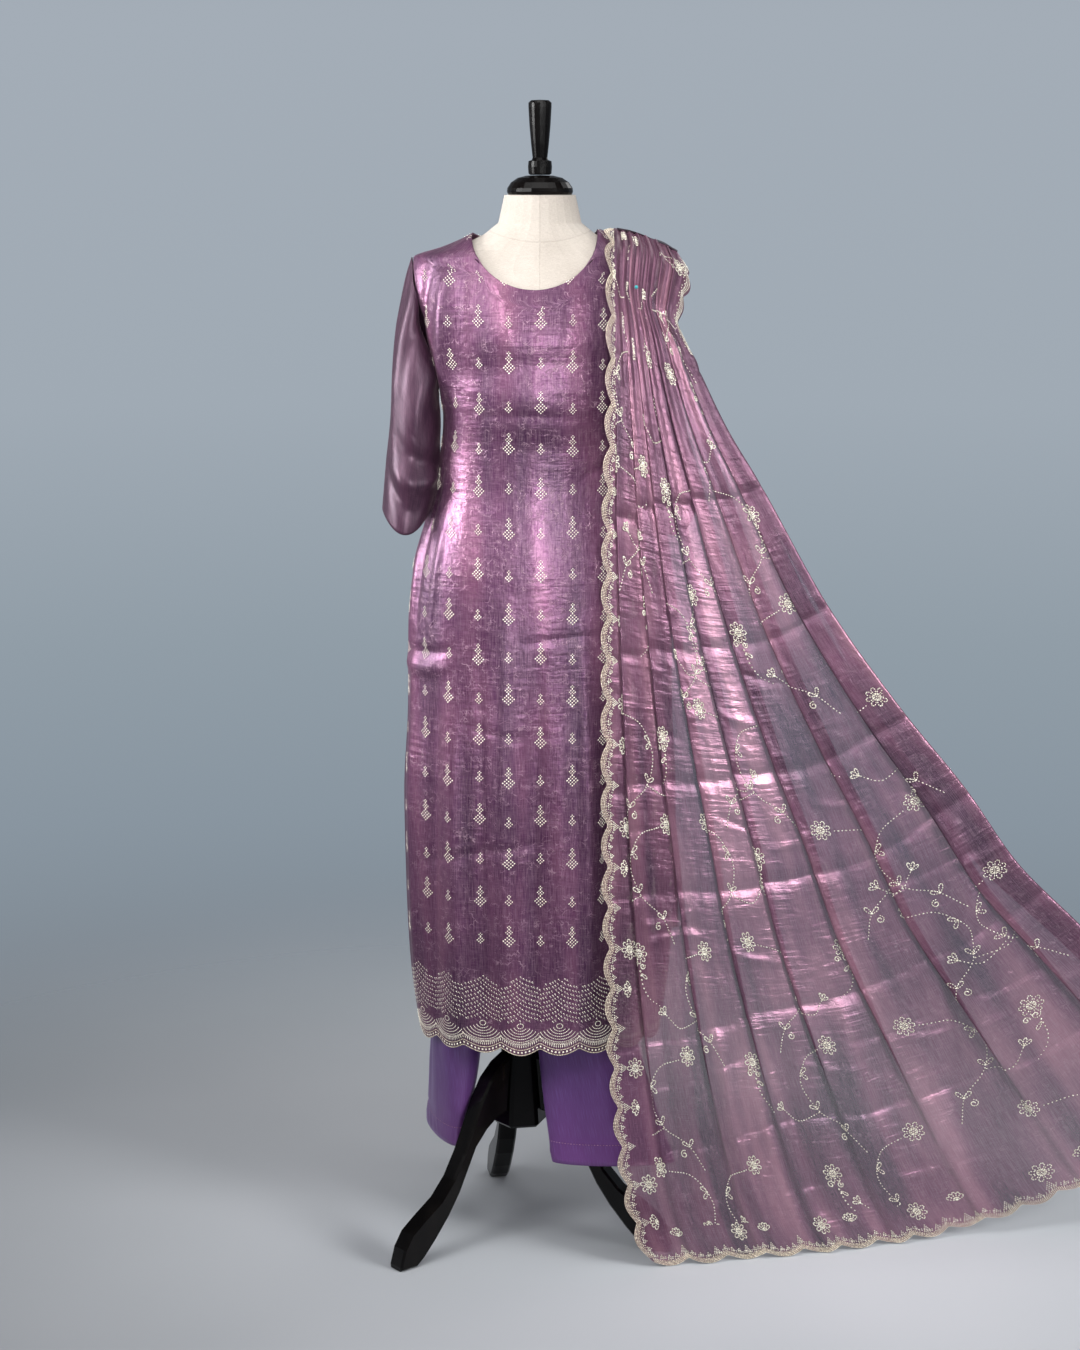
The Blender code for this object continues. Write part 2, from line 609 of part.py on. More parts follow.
def dupatta():
    shoulder = path([LEFT_EDGE[0], Place(0.146, 0.0, 1.4205), RIGHT_EDGE[0]])
    front = patch(path(LEFT_EDGE), path(RIGHT_EDGE), shoulder, path(END_EDGE))
    rows = np.linspace(0, 1, FRONT_ROWS + 1)
    grid = veil_grid(front, rows, 1, lambda down: 0.55 + 0.45 * down)
    grid[0, :, 1] -= SEAM_GAP / 2
    full = fold_under(grid, rows)
    normals = veil_normals(full, 1)
    shell("dupatta_front", full, VEIL_WALL, VEIL, normals=normals)
    cols = grid.shape[1]
    aside = np.array([front(0.0, down) - front(0.05, down) for down in rows])
    edging("dupatta_edging_side", grid[:, 0], normals[:, 0], aside, VEIL_WALL, VEIL)
    edging("dupatta_edging_end", grid[-1], normals[-1, :cols], grid[-1] - grid[-2], VEIL_WALL, VEIL)

    back_end = path([BACK_LEFT_EDGE[-1], Place(0.140, 0.142, 0.425), BACK_RIGHT_EDGE[-1]])
    back = patch(path(BACK_LEFT_EDGE), path(BACK_RIGHT_EDGE), shoulder, back_end)
    rows = np.linspace(0, 1, BACK_ROWS + 1) ** 1.2
    grid = veil_grid(back, rows, -1, lambda down: 0.55 + 0.1 * down)
    grid[0, :, 1] += SEAM_GAP / 2
    shell("dupatta_back", grid, VEIL_WALL, VEIL, normals=veil_normals(grid, -1))


def shoulder_pin():
    mesh = bpy.data.meshes.new("shoulder_pin")
    work = bmesh.new()
    bmesh.ops.create_uvsphere(work, u_segments=12, v_segments=8, radius=PIN_RADIUS)
    work.to_mesh(mesh)
    work.free()
    made = add_object("shoulder_pin", mesh, PIN)
    made.location = PIN_PLACE


# ---------------------------------------------------------------- dress form and stand
def dress_form():
    """Closed loft of the form's sections, with flat ends."""
    cols = FORM_COLUMNS
    sections = columns(FORM, "z")
    rows = []
    for z in FORM_ROWS:
        half, front, back = (float(sections[key](z)) for key in ("half_width", "front", "back"))
        ring = []
        for angle in np.arange(cols) * 2 * math.pi / cols:
            depth = front if math.sin(angle) < 0 else back
            ring.append((half * math.cos(angle), depth * math.sin(angle), z))
        rows.append(ring)
    vertices = [point for ring in rows for point in ring]
    faces = []
    for i in range(len(rows) - 1):
        for j in range(cols):
            a, b = i * cols + j, i * cols + (j + 1) % cols
            faces.append((a, b, b + cols, a + cols))
    faces += [tuple(reversed(range(cols))), tuple(range((len(rows) - 1) * cols, len(rows) * cols))]
    mesh = bpy.data.meshes.new("dress_form")
    mesh.from_pydata(vertices, [], faces)
    mesh.shade_smooth()
    mesh.set_sharp_from_angle(angle=math.radians(60))
    add_object("dress_form", orient(mesh), LINEN)


def stand():
    turned("neck_cap", NECK_CAP, WOOD)
    turned("finial", FINIAL, WOOD)
    collar_z = HUB_TOP_Z + SEAM_GAP
    turned("hub_collar", [Turn(p.radius, collar_z + HUB_COLLAR_HEIGHT * p.z) for p in HUB_COLLAR],
           WOOD, STAND_X)
    pole_bottom, pole_top = collar_z + HUB_COLLAR_HEIGHT + SEAM_GAP, FORM_BOTTOM_Z - SEAM_GAP
    turned("pole", [Turn(0.0, pole_top), Turn(POLE_RADIUS, pole_top), Turn(POLE_RADIUS, pole_bottom),
                    Turn(0.0, pole_bottom)], WOOD, STAND_X, steps=16)
    hub()
    lock_screw(collar_z + HUB_COLLAR_HEIGHT / 2)
    for number, heading in enumerate(LEG_HEADINGS, 1):
        stand_leg("stand_leg_%d" % number, math.radians(heading))


def hub():
    """Six-sided tapered block whose flats face the legs, with eased edges."""
    across = math.cos(math.pi / 6)
    mesh = bpy.data.meshes.new("hub")
    work = bmesh.new()
    bmesh.ops.create_cone(work, cap_ends=True, segments=6, radius1=HUB_FLAT_BOTTOM / across,
                          radius2=HUB_FLAT_TOP / across, depth=HUB_TOP_Z - HUB_BOTTOM_Z)
    work.to_mesh(mesh)
    work.free()
    made = add_object("hub", mesh, WOOD)
    made.location = (STAND_X, 0.0, (HUB_TOP_Z + HUB_BOTTOM_Z) / 2)
    flat_heading = 30 if abs(min(v.co.x for v in mesh.vertices)) > HUB_FLAT_BOTTOM / across - 1e-5 else 0
    made.rotation_euler.z = math.radians(LEG_HEADINGS[0] - flat_heading)
    ease = made.modifiers.new("Bevel", "BEVEL")
    ease.width = HUB_EASE
    ease.segments = 1
    ease.limit_method = "ANGLE"


def lock_screw(z):
    """Round head on the collar's front that locks the form's height."""
    mesh = bpy.data.meshes.new("lock_screw")
    work = bmesh.new()
    bmesh.ops.create_cone(work, cap_ends=True, segments=16, radius1=SCREW_HEAD_RADIUS,
                          radius2=SCREW_HEAD_RADIUS, depth=SCREW_HEAD_LENGTH)
    work.to_mesh(mesh)
    work.free()
    made = add_object("lock_screw", mesh, STEEL)
    made.rotation_euler.x = math.pi / 2
    made.location = (STAND_X, SCREW_SEAT_Y - SEAM_GAP - SCREW_HEAD_LENGTH / 2, z)


def stand_leg(name, heading):
    """Flat outline of the leg, bevelled all round and stood on edge along its heading."""
    outline = [(p.radius, p.z) for p in LEG_TOP + LEG_UNDERSIDE]
    curve = bpy.data.curves.new(name, "CURVE")
    curve.dimensions = "2D"
    curve.fill_mode = "BOTH"
    curve.extrude = LEG_HALF_THICKNESS - LEG_BEVEL
    curve.bevel_depth = LEG_BEVEL
    curve.bevel_resolution = 0
    curve.offset = -LEG_BEVEL
    spline = curve.splines.new("POLY")
    spline.points.add(len(outline) - 1)
    for point, (reach, z) in zip(spline.points, outline):
        point.co = (reach, z, 0.0, 1.0)
    spline.use_cyclic_u = True
    made = add_object(name, curve, WOOD)
    made.rotation_euler = (math.pi / 2, 0.0, heading)
    made.location = (STAND_X, 0.0, 0.0)


# ---------------------------------------------------------------- assembly
def centre_on_origin():
    """Move the root so that the middle of the model's box stands over the origin."""
    bpy.context.view_layer.update()
    graph = bpy.context.evaluated_depsgraph_get()
    corners = []
    for made in PARTS.objects:
        if made.type in {"MESH", "CURVE"}:
            shown = made.evaluated_get(graph)
            mesh = shown.to_mesh()
            corners += [shown.matrix_world @ vertex.co for vertex in mesh.vertices]
            shown.to_mesh_clear()
    points = np.array(corners)
    low, high = points.min(axis=0), points.max(axis=0)
    ROOT.location = (-(low[0] + high[0]) / 2, -(low[1] + high[1]) / 2, -low[2])
    bpy.context.view_layer.update()
    print("root at", tuple(round(value, 5) for value in ROOT.location),
          "size", tuple(round(float(value), 4) for value in high - low))


for old in list(bpy.data.objects):
    bpy.data.objects.remove(old)

PARTS = bpy.data.collections.new("salwar_kameez_suit")
bpy.context.scene.collection.children.link(PARTS)
ROOT = bpy.data.objects.new("root", None)
PARTS.objects.link(ROOT)

SILK = material("crushed_tissue_silk", (134, 95, 121), 0.42, 0.15)
SATIN = material("violet_satin", (89, 71, 121), 0.38)
VEIL = material("sheer_tissue", (131, 102, 124), 0.40, 0.10, 0.60)
LINEN = material("cream_linen", (242, 232, 222), 0.90)
WOOD = material("black_lacquered_wood", (26, 22, 21), 0.30)
STEEL = material("bright_steel", (190, 190, 192), 0.25, 1.0)
PIN = material("turquoise_pin", (60, 160, 165), 0.30)

kameez_panels()
sleeve("sleeve_right", -1)
sleeve("sleeve_left", 1)
trouser("trouser_right", -1, RIGHT_LEG)
trouser("trouser_left", 1, LEFT_LEG)
waistband()
dupatta()
shoulder_pin()
dress_form()
stand()
centre_on_origin()
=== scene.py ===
import math
from collections import namedtuple

import bpy
import numpy as np
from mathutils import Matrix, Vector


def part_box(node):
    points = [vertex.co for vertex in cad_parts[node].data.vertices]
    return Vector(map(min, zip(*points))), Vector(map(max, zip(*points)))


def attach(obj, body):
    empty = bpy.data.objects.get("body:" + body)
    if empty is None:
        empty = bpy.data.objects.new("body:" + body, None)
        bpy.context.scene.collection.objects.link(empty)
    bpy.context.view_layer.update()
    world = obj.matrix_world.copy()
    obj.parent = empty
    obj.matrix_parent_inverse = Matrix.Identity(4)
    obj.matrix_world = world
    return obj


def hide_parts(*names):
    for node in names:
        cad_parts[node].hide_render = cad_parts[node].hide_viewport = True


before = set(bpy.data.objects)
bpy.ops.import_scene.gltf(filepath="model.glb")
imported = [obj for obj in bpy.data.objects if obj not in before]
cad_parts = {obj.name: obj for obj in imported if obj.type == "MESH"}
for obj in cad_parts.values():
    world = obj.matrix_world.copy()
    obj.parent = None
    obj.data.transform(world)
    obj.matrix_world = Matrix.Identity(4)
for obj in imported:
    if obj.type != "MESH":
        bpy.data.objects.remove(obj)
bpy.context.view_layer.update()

# ---------------- sizes shared with part.py, in metres
SEAM_GAP = 0.0003
CLOTH_WALL = 0.0012
HEM_Z = 0.3192
SLIT_TOP_Z = 0.850
SLIT_OPENING = 0.014
UNDERARM_Z = 1.220
SHOULDER_Z = 1.395
ARMHOLE_DEPTH = 0.036
NECK_TOP_Z = 1.432
NECK_CENTRE_X = -0.0075
NECK_HALF_WIDTH = 0.085
FRONT_NECK_Z = 1.355
BACK_NECK_Z = 1.413
SCALLOP_PERIOD = 0.058
SCALLOP_DEPTH = 0.010
EDGING_WIDTH = 0.004
TROUSER_INSET = 0.0045
WAISTBAND_Z = (1.0583, 1.100)
HIP_ROWS = (1.058, 0.990, 0.900, 0.765)
TURN_RADIUS = 0.003

# The tables are measured from the form's axis, on which the finial stands.
low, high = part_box("finial")
AXIS = np.array(((low.x + high.x) / 2, (low.y + high.y) / 2, 0.0))

Section = namedtuple("Section", "z half_width front back")
KAMEEZ = [
    Section(0.300, 0.1680, 0.120, 0.112),
    Section(0.350, 0.1765, 0.120, 0.114),
    Section(0.420, 0.1845, 0.120, 0.117),
    Section(0.520, 0.1890, 0.118, 0.119),
    Section(0.650, 0.1910, 0.116, 0.120),
    Section(0.780, 0.1845, 0.114, 0.120),
    Section(0.890, 0.1830, 0.112, 0.120),
    Section(0.970, 0.1750, 0.109, 0.116),
    Section(1.040, 0.1540, 0.100, 0.102),
    Section(1.090, 0.1400, 0.094, 0.088),
    Section(1.140, 0.1345, 0.096, 0.083),
    Section(1.180, 0.1325, 0.106, 0.086),
    Section(1.220, 0.1370, 0.113, 0.094),
    Section(1.280, 0.1500, 0.112, 0.100),
    Section(1.330, 0.1620, 0.102, 0.097),
    Section(1.365, 0.1685, 0.089, 0.089),
    Section(1.395, 0.1710, 0.075, 0.077),
    Section(1.410, 0.1300, 0.069, 0.070),
    Section(1.420, 0.1060, 0.064, 0.064),
    Section(1.432, 0.0830, 0.058, 0.058),
]
# One row a soft lengthways fold: place across the panel (0 to 1), width, ends and height.
Fold = namedtuple("Fold", "across width z_low z_high height")
FRONT_FOLDS = [
    Fold(0.24, 0.060, 0.25, 0.98, 0.006),
    Fold(0.43, 0.045, 0.25, 0.90, 0.004),
    Fold(0.62, 0.050, 0.25, 0.80, 0.005),
    Fold(0.80, 0.055, 0.25, 1.00, 0.005),
]
BACK_FOLDS = [
    Fold(0.20, 0.055, 0.25, 0.95, 0.005),
    Fold(0.42, 0.060, 0.25, 1.02, 0.006),
    Fold(0.66, 0.050, 0.25, 0.88, 0.005),
    Fold(0.84, 0.050, 0.25, 0.97, 0.004),
]
SleeveRing = namedtuple("SleeveRing", "outer_x held_x outer_z inner_x inner_z half_depth dip")
SLEEVE = [
    SleeveRing(0.1800, 0.1745, 1.372, 0.1385, 1.205, 0.044, 0.000),
    SleeveRing(0.1885, 0.1750, 1.335, 0.1372, 1.188, 0.050, 0.000),
    SleeveRing(0.1960, 0.1790, 1.295, 0.1368, 1.170, 0.053, 0.000),
    SleeveRing(0.2010, 0.1880, 1.240, 0.1378, 1.148, 0.055, 0.004),
    SleeveRing(0.2035, 0.1960, 1.185, 0.1385, 1.120, 0.055, 0.008),
    SleeveRing(0.2095, 0.2060, 1.125, 0.1425, 1.088, 0.054, 0.016),
    SleeveRing(0.2160, 0.2140, 1.055, 0.1515, 1.052, 0.052, 0.030),
]
LegRing = namedtuple("LegRing", "z x y half_width half_depth turn")
RIGHT_LEG = [
    LegRing(0.700, -0.1100, 0.002, 0.0620, 0.0830, 0),
    LegRing(0.600, -0.1140, 0.000, 0.0560, 0.0780, 2),
    LegRing(0.450, -0.1180, 0.000, 0.0460, 0.0720, 4),
    LegRing(0.320, -0.1180, -0.002, 0.0380, 0.0640, 7),
    LegRing(0.250, -0.1240, 0.010, 0.0340, 0.0680, 12),
    LegRing(0.140, -0.1380, 0.032, 0.0200, 0.0735, 18),
]
LEFT_LEG = [
    LegRing(0.700, 0.0560, 0.000, 0.0640, 0.0870, 0),
    LegRing(0.600, 0.0600, -0.008, 0.0660, 0.0800, 0),
    LegRing(0.450, 0.0630, -0.030, 0.0680, 0.0600, 0),
    LegRing(0.320, 0.0660, -0.050, 0.0700, 0.0430, 0),
    LegRing(0.250, 0.0780, -0.066, 0.0760, 0.0330, 0),
    LegRing(0.138, 0.1035, -0.088, 0.0865, 0.0210, 0),
]
# The dupatta's four edges from the shoulder, one row a place that each edge runs through.
Place = namedtuple("Place", "x y z")
LEFT_EDGE = [
    Place(0.0990, 0.000, 1.4325), Place(0.0980, -0.048, 1.4185), Place(0.0965, -0.095, 1.3740),
    Place(0.0975, -0.119, 1.2900), Place(0.0975, -0.122, 1.2000), Place(0.0945, -0.122, 1.0500),
    Place(0.0945, -0.124, 0.9000), Place(0.0950, -0.128, 0.7500), Place(0.0965, -0.132, 0.6000),
    Place(0.1000, -0.136, 0.4500), Place(0.1050, -0.139, 0.3300), Place(0.1140, -0.141, 0.2200),
    Place(0.1270, -0.142, 0.1200), Place(0.1440, -0.141, 0.0500), Place(0.1580, -0.140, 0.0140),
]
RIGHT_EDGE = [
    Place(0.1880, 0.000, 1.3990), Place(0.1970, -0.032, 1.3740), Place(0.1880, -0.062, 1.3400),
    Place(0.1820, -0.072, 1.3150), Place(0.2030, -0.076, 1.2680), Place(0.2470, -0.074, 1.1750),
    Place(0.2960, -0.070, 1.0930), Place(0.3910, -0.060, 0.9260), Place(0.4970, -0.047, 0.7790),
    Place(0.5930, -0.034, 0.6610), Place(0.6700, -0.024, 0.5530), Place(0.7610, -0.014, 0.4620),
    Place(0.8800, -0.005, 0.3420), Place(1.0000, 0.000, 0.2200),
]
END_EDGE = [
    Place(0.1580, -0.140, 0.0140), Place(0.2600, -0.118, 0.0135), Place(0.3700, -0.097, 0.0135),
    Place(0.4700, -0.071, 0.0140), Place(0.5500, -0.046, 0.0160), Place(0.6100, -0.031, 0.0250),
    Place(0.6700, -0.021, 0.0400), Place(0.7400, -0.013, 0.0620), Place(0.8100, -0.008, 0.0960),
    Place(0.9000, -0.003, 0.1530), Place(1.0000, 0.000, 0.2200),
]
BACK_LEFT_EDGE = [
    Place(0.0990, 0.000, 1.4325), Place(0.0970, 0.048, 1.4225), Place(0.0950, 0.092, 1.3740),
    Place(0.0930, 0.108, 1.2800), Place(0.0920, 0.116, 1.1500), Place(0.0900, 0.124, 1.0000),
    Place(0.0860, 0.138, 0.8500), Place(0.0800, 0.143, 0.6500), Place(0.0760, 0.145, 0.4500),
]
BACK_RIGHT_EDGE = [
    Place(0.1880, 0.000, 1.3990), Place(0.1895, 0.040, 1.3800), Place(0.1780, 0.074, 1.3250),
    Place(0.1720, 0.092, 1.2400), Place(0.1740, 0.099, 1.1200), Place(0.1810, 0.106, 0.9800),
    Place(0.1890, 0.116, 0.8300), Place(0.1970, 0.122, 0.6300), Place(0.2040, 0.124, 0.4300),
]
SHOULDER_MIDDLE = Place(0.146, 0.0, 1.4205)
BACK_END_MIDDLE = Place(0.140, 0.142, 0.425)
PLEAT_SHARES = (0.12, 0.10, 0.11, 0.13, 0.16, 0.18, 0.20)
Under = namedtuple("Under", "down width")
FOLDED_UNDER = [Under(0.0, 0.008), Under(0.38, 0.010), Under(0.50, 0.040), Under(0.60, 0.050),
                Under(0.72, 0.038), Under(1.0, 0.028)]

# ---------------- sizes of the cloth laid flat: width or girth, then length
VEIL_WIDTH = 0.92
VEIL_FRONT_LENGTH = 1.52
VEIL_BACK_LENGTH = 1.02

# ---------------- fineness of the cloth meshes
FRONT_COLUMNS = 150
BACK_COLUMNS = 110
PANEL_LOW_ROWS = 190
PANEL_ARM_ROWS = 44
PANEL_SHOULDER_ROWS = 18
SLEEVE_AROUND = 72
SLEEVE_ROWS = 90
LEG_AROUND = 72
LEG_ROWS = 130
VEIL_ROWS = 340
VEIL_PLEAT_COLUMNS = 38
VEIL_BACK_ROWS = 150
BACK_LAYERS = 9
BACK_LAYER_COLUMNS = 22
BACK_LAYER_GAP = 0.0016
BACK_LAYER_BOW = 0.0022
BACK_LAYERS_INSET = 0.004


# ---------------- curves and surfaces
def smooth_curve(knots, values):
    """Smooth curve through the values at rising knots; it never overshoots a value."""
    knots = np.asarray(knots, float)
    values = np.asarray(values, float)
    steps = np.diff(knots)
    rises = np.diff(values) / steps
    slopes = np.zeros(len(knots))
    slopes[0], slopes[-1] = rises[0], rises[-1]
    same_way = rises[:-1] * rises[1:] > 0
    harmonic = 2 * rises[:-1] * rises[1:] / np.where(same_way, rises[:-1] + rises[1:], 1)
    slopes[1:-1] = np.where(same_way, harmonic, 0)

    def at(place):
        place = np.clip(place, knots[0], knots[-1])
        i = np.clip(np.searchsorted(knots, place, side="right") - 1, 0, len(steps) - 1)
        t = (place - knots[i]) / steps[i]
        rise = values[i + 1] - values[i]
        start, end = slopes[i] * steps[i], slopes[i + 1] * steps[i]
        return values[i] + t * (start + t * (3 * rise - 2 * start - end + t * (start + end - 2 * rise)))
    return at


def columns(table, key):
    """One smooth curve for each column of a table, by its key column."""
    knots = [getattr(row, key) for row in table]
    if knots[0] > knots[-1]:
        table, knots = table[::-1], knots[::-1]
    return {name: smooth_curve(knots, [getattr(row, name) for row in table])
            for name in table[0]._fields if name != key}


def path(places):
    """Smooth path through places in space, by its share of length from 0 to 1."""
    points = np.array(places, float)
    lengths = np.concatenate([[0], np.cumsum(np.linalg.norm(np.diff(points, axis=0), axis=1))])
    axes = [smooth_curve(lengths / lengths[-1], points[:, axis]) for axis in range(3)]

    def at(share):
        return np.stack([axis(share) for axis in axes], axis=-1)
    return at


def patch(left, right, top, bottom):
    """Surface between four edges: across and down both run from 0 to 1."""
    corners = left(0.0), right(0.0), left(1.0), right(1.0)

    def at(across, down):
        a, d = np.asarray(across, float)[..., None], np.asarray(down, float)[..., None]
        sides = (1 - a) * left(down) + a * right(down)
        ends = (1 - d) * top(across) + d * bottom(across)
        upper = (1 - a) * corners[0] + a * corners[1]
        lower = (1 - a) * corners[2] + a * corners[3]
        return sides + ends - (1 - d) * upper - d * lower
    return at


def unit(vectors):
    """The vectors at a length of 1."""
    return vectors / np.maximum(np.linalg.norm(vectors, axis=-1, keepdims=True), 1e-12)


def grid_normals(grid, closed=False):
    """Unit normals of a grid of points: (along the rows) x (down the columns)."""
    if closed:
        across = np.roll(grid, -1, axis=1) - np.roll(grid, 1, axis=1)
    else:
        across = np.gradient(grid, axis=1)
    down = np.gradient(grid, axis=0)
    return unit(np.cross(across, down))


def arc_lengths(grid):
    """Distance along each row of a grid from its first column."""
    steps = np.linalg.norm(np.diff(grid, axis=1), axis=2)
    return np.concatenate([np.zeros((len(grid), 1)), np.cumsum(steps, axis=1)], axis=1)


def lofted(knots, rings, rows):
    """Grid of points at the rows between rings that lie at the knots."""
    grid = np.zeros((len(rows),) + rings.shape[1:])
    for column in range(rings.shape[1]):
        for axis in range(3):
            grid[:, column, axis] = smooth_curve(knots, rings[:, column, axis])(rows)
    return grid


def patch_outward(surface, across, down, side, top_step, small):
    """Unit vectors off a patch in front of the shoulder (side 1) or behind it (side -1).

    top_step is the way down the cloth along its top edge, where the patch turns over the shoulder.
    """
    step_across = surface(np.minimum(1, across + small), down) - surface(np.maximum(0, across - small), down)
    step_down = surface(across, np.minimum(1, down + small)) - surface(across, np.maximum(0, down - small))
    step_down[down == 0] = top_step
    return side * unit(np.cross(step_down, step_across))


def grid_quads(rows, cols, closed):
    """Faces of a grid of points, which closes round on itself or not."""
    i = np.arange(rows - 1)[:, None]
    j = np.arange(cols if closed else cols - 1)[None, :]
    a, b = i * cols + j, i * cols + (j + 1) % cols
    return np.stack([a, a + cols, b + cols, b], axis=-1).reshape(-1, 4)


# ---------------- creases
# One row a crease: its middle in the cloth's own metres, heading in degrees, length, how far
# its middle bows aside, width of the soft trough or ridge, and height (below 0: a trough).
Crease = namedtuple("Crease", "u v heading length bow width height")


def relief(u, v, table, sharpness=2.0):
    """Height of a table of creases over the cloth; sharpness 1 gives a pressed edge."""
    height = np.zeros_like(u)
    for row in table:
        way = math.radians(row.heading)
        du, dv = u - row.u, v - row.v
        along = (du * math.cos(way) + dv * math.sin(way)) * 2 / row.length
        aside = dv * math.cos(way) - du * math.sin(way) - row.bow * (1 - along ** 2)
        fade = np.clip(1 - along ** 2, 0, 1) ** 0.7
        height += row.height * fade * np.exp(-np.abs(aside / row.width) ** sharpness)
    return height


# ---------------- meshes
Cloth = namedtuple("Cloth", "points normals u v")


def add_object(name, mesh, finish):
    """Put a mesh in the scene as a piece that rides on the part's one body."""
    made = bpy.data.objects.new(name, mesh)
    mesh.materials.append(finish)
    bpy.context.scene.collection.objects.link(made)
    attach(made, "root")
    return made


def fill_mesh(name, vertices, faces):
    """Mesh from arrays of vertices and of faces with one number of corners."""
    mesh = bpy.data.meshes.new(name)
    corners = faces.shape[1]
    mesh.vertices.add(len(vertices))
    mesh.vertices.foreach_set("co", np.ascontiguousarray(vertices + AXIS, np.float32).ravel())
    mesh.loops.add(faces.size)
    mesh.loops.foreach_set("vertex_index", np.ascontiguousarray(faces, np.int32).ravel())
    mesh.polygons.add(len(faces))
    mesh.polygons.foreach_set("loop_start", np.arange(0, faces.size, corners, dtype=np.int32))
    mesh.update(calc_edges=True)
    mesh.validate()
    mesh.shade_smooth()
    return mesh


def cloth_mesh(name, cloth, finish, wall=0.0, closed=False, outward=1):
    """Sheet through a cloth's grid; its own coordinates go with it for the weave."""
    quads = grid_quads(*cloth.points.shape[:2], closed)
    if outward > 0:
        quads = quads[:, ::-1]
    mesh = fill_mesh(name, cloth.points.reshape(-1, 3), quads)
    own = np.stack([cloth.u, cloth.v, np.zeros_like(cloth.u)], axis=-1)
    mesh.attributes.new("cloth", "FLOAT_VECTOR", "POINT").data.foreach_set(
        "vector", np.ascontiguousarray(own, np.float32).ravel())
    made = add_object(name, mesh, finish)
    if wall > 0:
        thick = made.modifiers.new("Solidify", "SOLIDIFY")
        thick.thickness = wall
        thick.offset = -1.0
    return made


# ---------------- materials
def linear(level):
    return level / 12.92 if level <= 0.04045 else ((level + 0.055) / 1.055) ** 2.4


def rgb(red, green, blue):
    """Colour from its 0 to 255 display values."""
    return tuple(linear(value / 255) for value in (red, green, blue)) + (1.0,)


class Nodes:
    """Short way to write the node tree of a material or a world."""

    def __init__(self, owner):
        self.owner = owner
        owner.use_nodes = True
        self.tree = owner.node_tree

    def put(self, value, socket):
        """Link a node's output to a socket, or set a constant on it."""
        if isinstance(value, bpy.types.NodeSocket):
            self.tree.links.new(value, socket)
        else:
            socket.default_value = value

    def add(self, kind, values=(), **settings):
        node = self.tree.nodes.new("ShaderNode" + kind)
        for key, value in settings.items():
            setattr(node, key, value)
        for key, value in dict(values).items():
            self.put(value, node.inputs[key])
        return node

    def math(self, operation, a, b=0.0):
        return self.add("Math", {0: a, 1: b}, operation=operation).outputs[0]

    def vector(self, operation, a, b):
        return self.add("VectorMath", {0: a, 1: b}, operation=operation).outputs[0]

    def noise(self, vector, scale, detail=2.0, roughness=0.5):
        """Noise of one scale, or of a scale for each axis."""
        if isinstance(scale, tuple):
            vector = self.add("Mapping", {"Vector": vector, "Scale": scale}).outputs["Vector"]
            scale = 1.0
        values = {"Vector": vector, "Scale": scale, "Detail": detail, "Roughness": roughness}
        return self.add("TexNoise", values).outputs["Fac"]

    def ramp(self, value, stops):
        node = self.add("ValToRGB", {"Fac": value})
        elements = node.color_ramp.elements
        while len(elements) < len(stops):
            elements.new(0.5)
        for element, (place, colour) in zip(elements, stops):
            element.position = place
            element.color = colour
        return node.outputs["Color"]

    def level(self, value, low, high, to_low=0.0, to_high=1.0):
        """The value's place between low and high, brought between two others."""
        node = self.add("MapRange", {"Value": value, "From Min": low, "From Max": high,
                                     "To Min": to_low, "To Max": to_high})
        return node.outputs["Result"]

    def mix(self, factor, a, b):
        return self.add("Mix", {0: factor, 6: a, 7: b}, data_type="RGBA").outputs[2]

    def bump(self, height, strength, distance, below=None):
        values = {"Height": height, "Strength": strength, "Distance": distance}
        if below is not None:
            values["Normal"] = below
        return self.add("Bump", values).outputs["Normal"]

    def finish(self, **values):
        """Give a material's shader its values; _ stands for a space in their names."""
        shader = self.tree.nodes["Principled BSDF"]
        for key, value in values.items():
            self.put(value, shader.inputs[key.replace("_", " ")])
        return self.owner


def material(name):
    """A new material's node tree."""
    return Nodes(bpy.data.materials.new(name))


def own_cloth(nodes):
    """The cloth's own place, in metres across and along it."""
    return nodes.add("Attribute", attribute_name="cloth").outputs["Vector"]


def crinkle_lines(nodes, cloth, scale, warp, thinness):
    """Short fine lines in all directions, as in tissue that has been crushed and pressed."""
    shift = nodes.add("TexNoise", {"Vector": cloth, "Scale": scale * 0.6, "Detail": 1.0}).outputs["Color"]
    moved = nodes.vector("SUBTRACT", shift, (0.5, 0.5, 0.5))
    moved = nodes.add("VectorMath", {0: moved, "Scale": warp}, operation="SCALE").outputs[0]
    place = nodes.vector("ADD", cloth, moved)
    cells = nodes.add("TexVoronoi", {"Vector": place, "Scale": scale}, feature="DISTANCE_TO_EDGE",
                      voronoi_dimensions="2D").outputs["Distance"]
    return nodes.level(cells, 0.0, thinness, 1.0, 0.0)


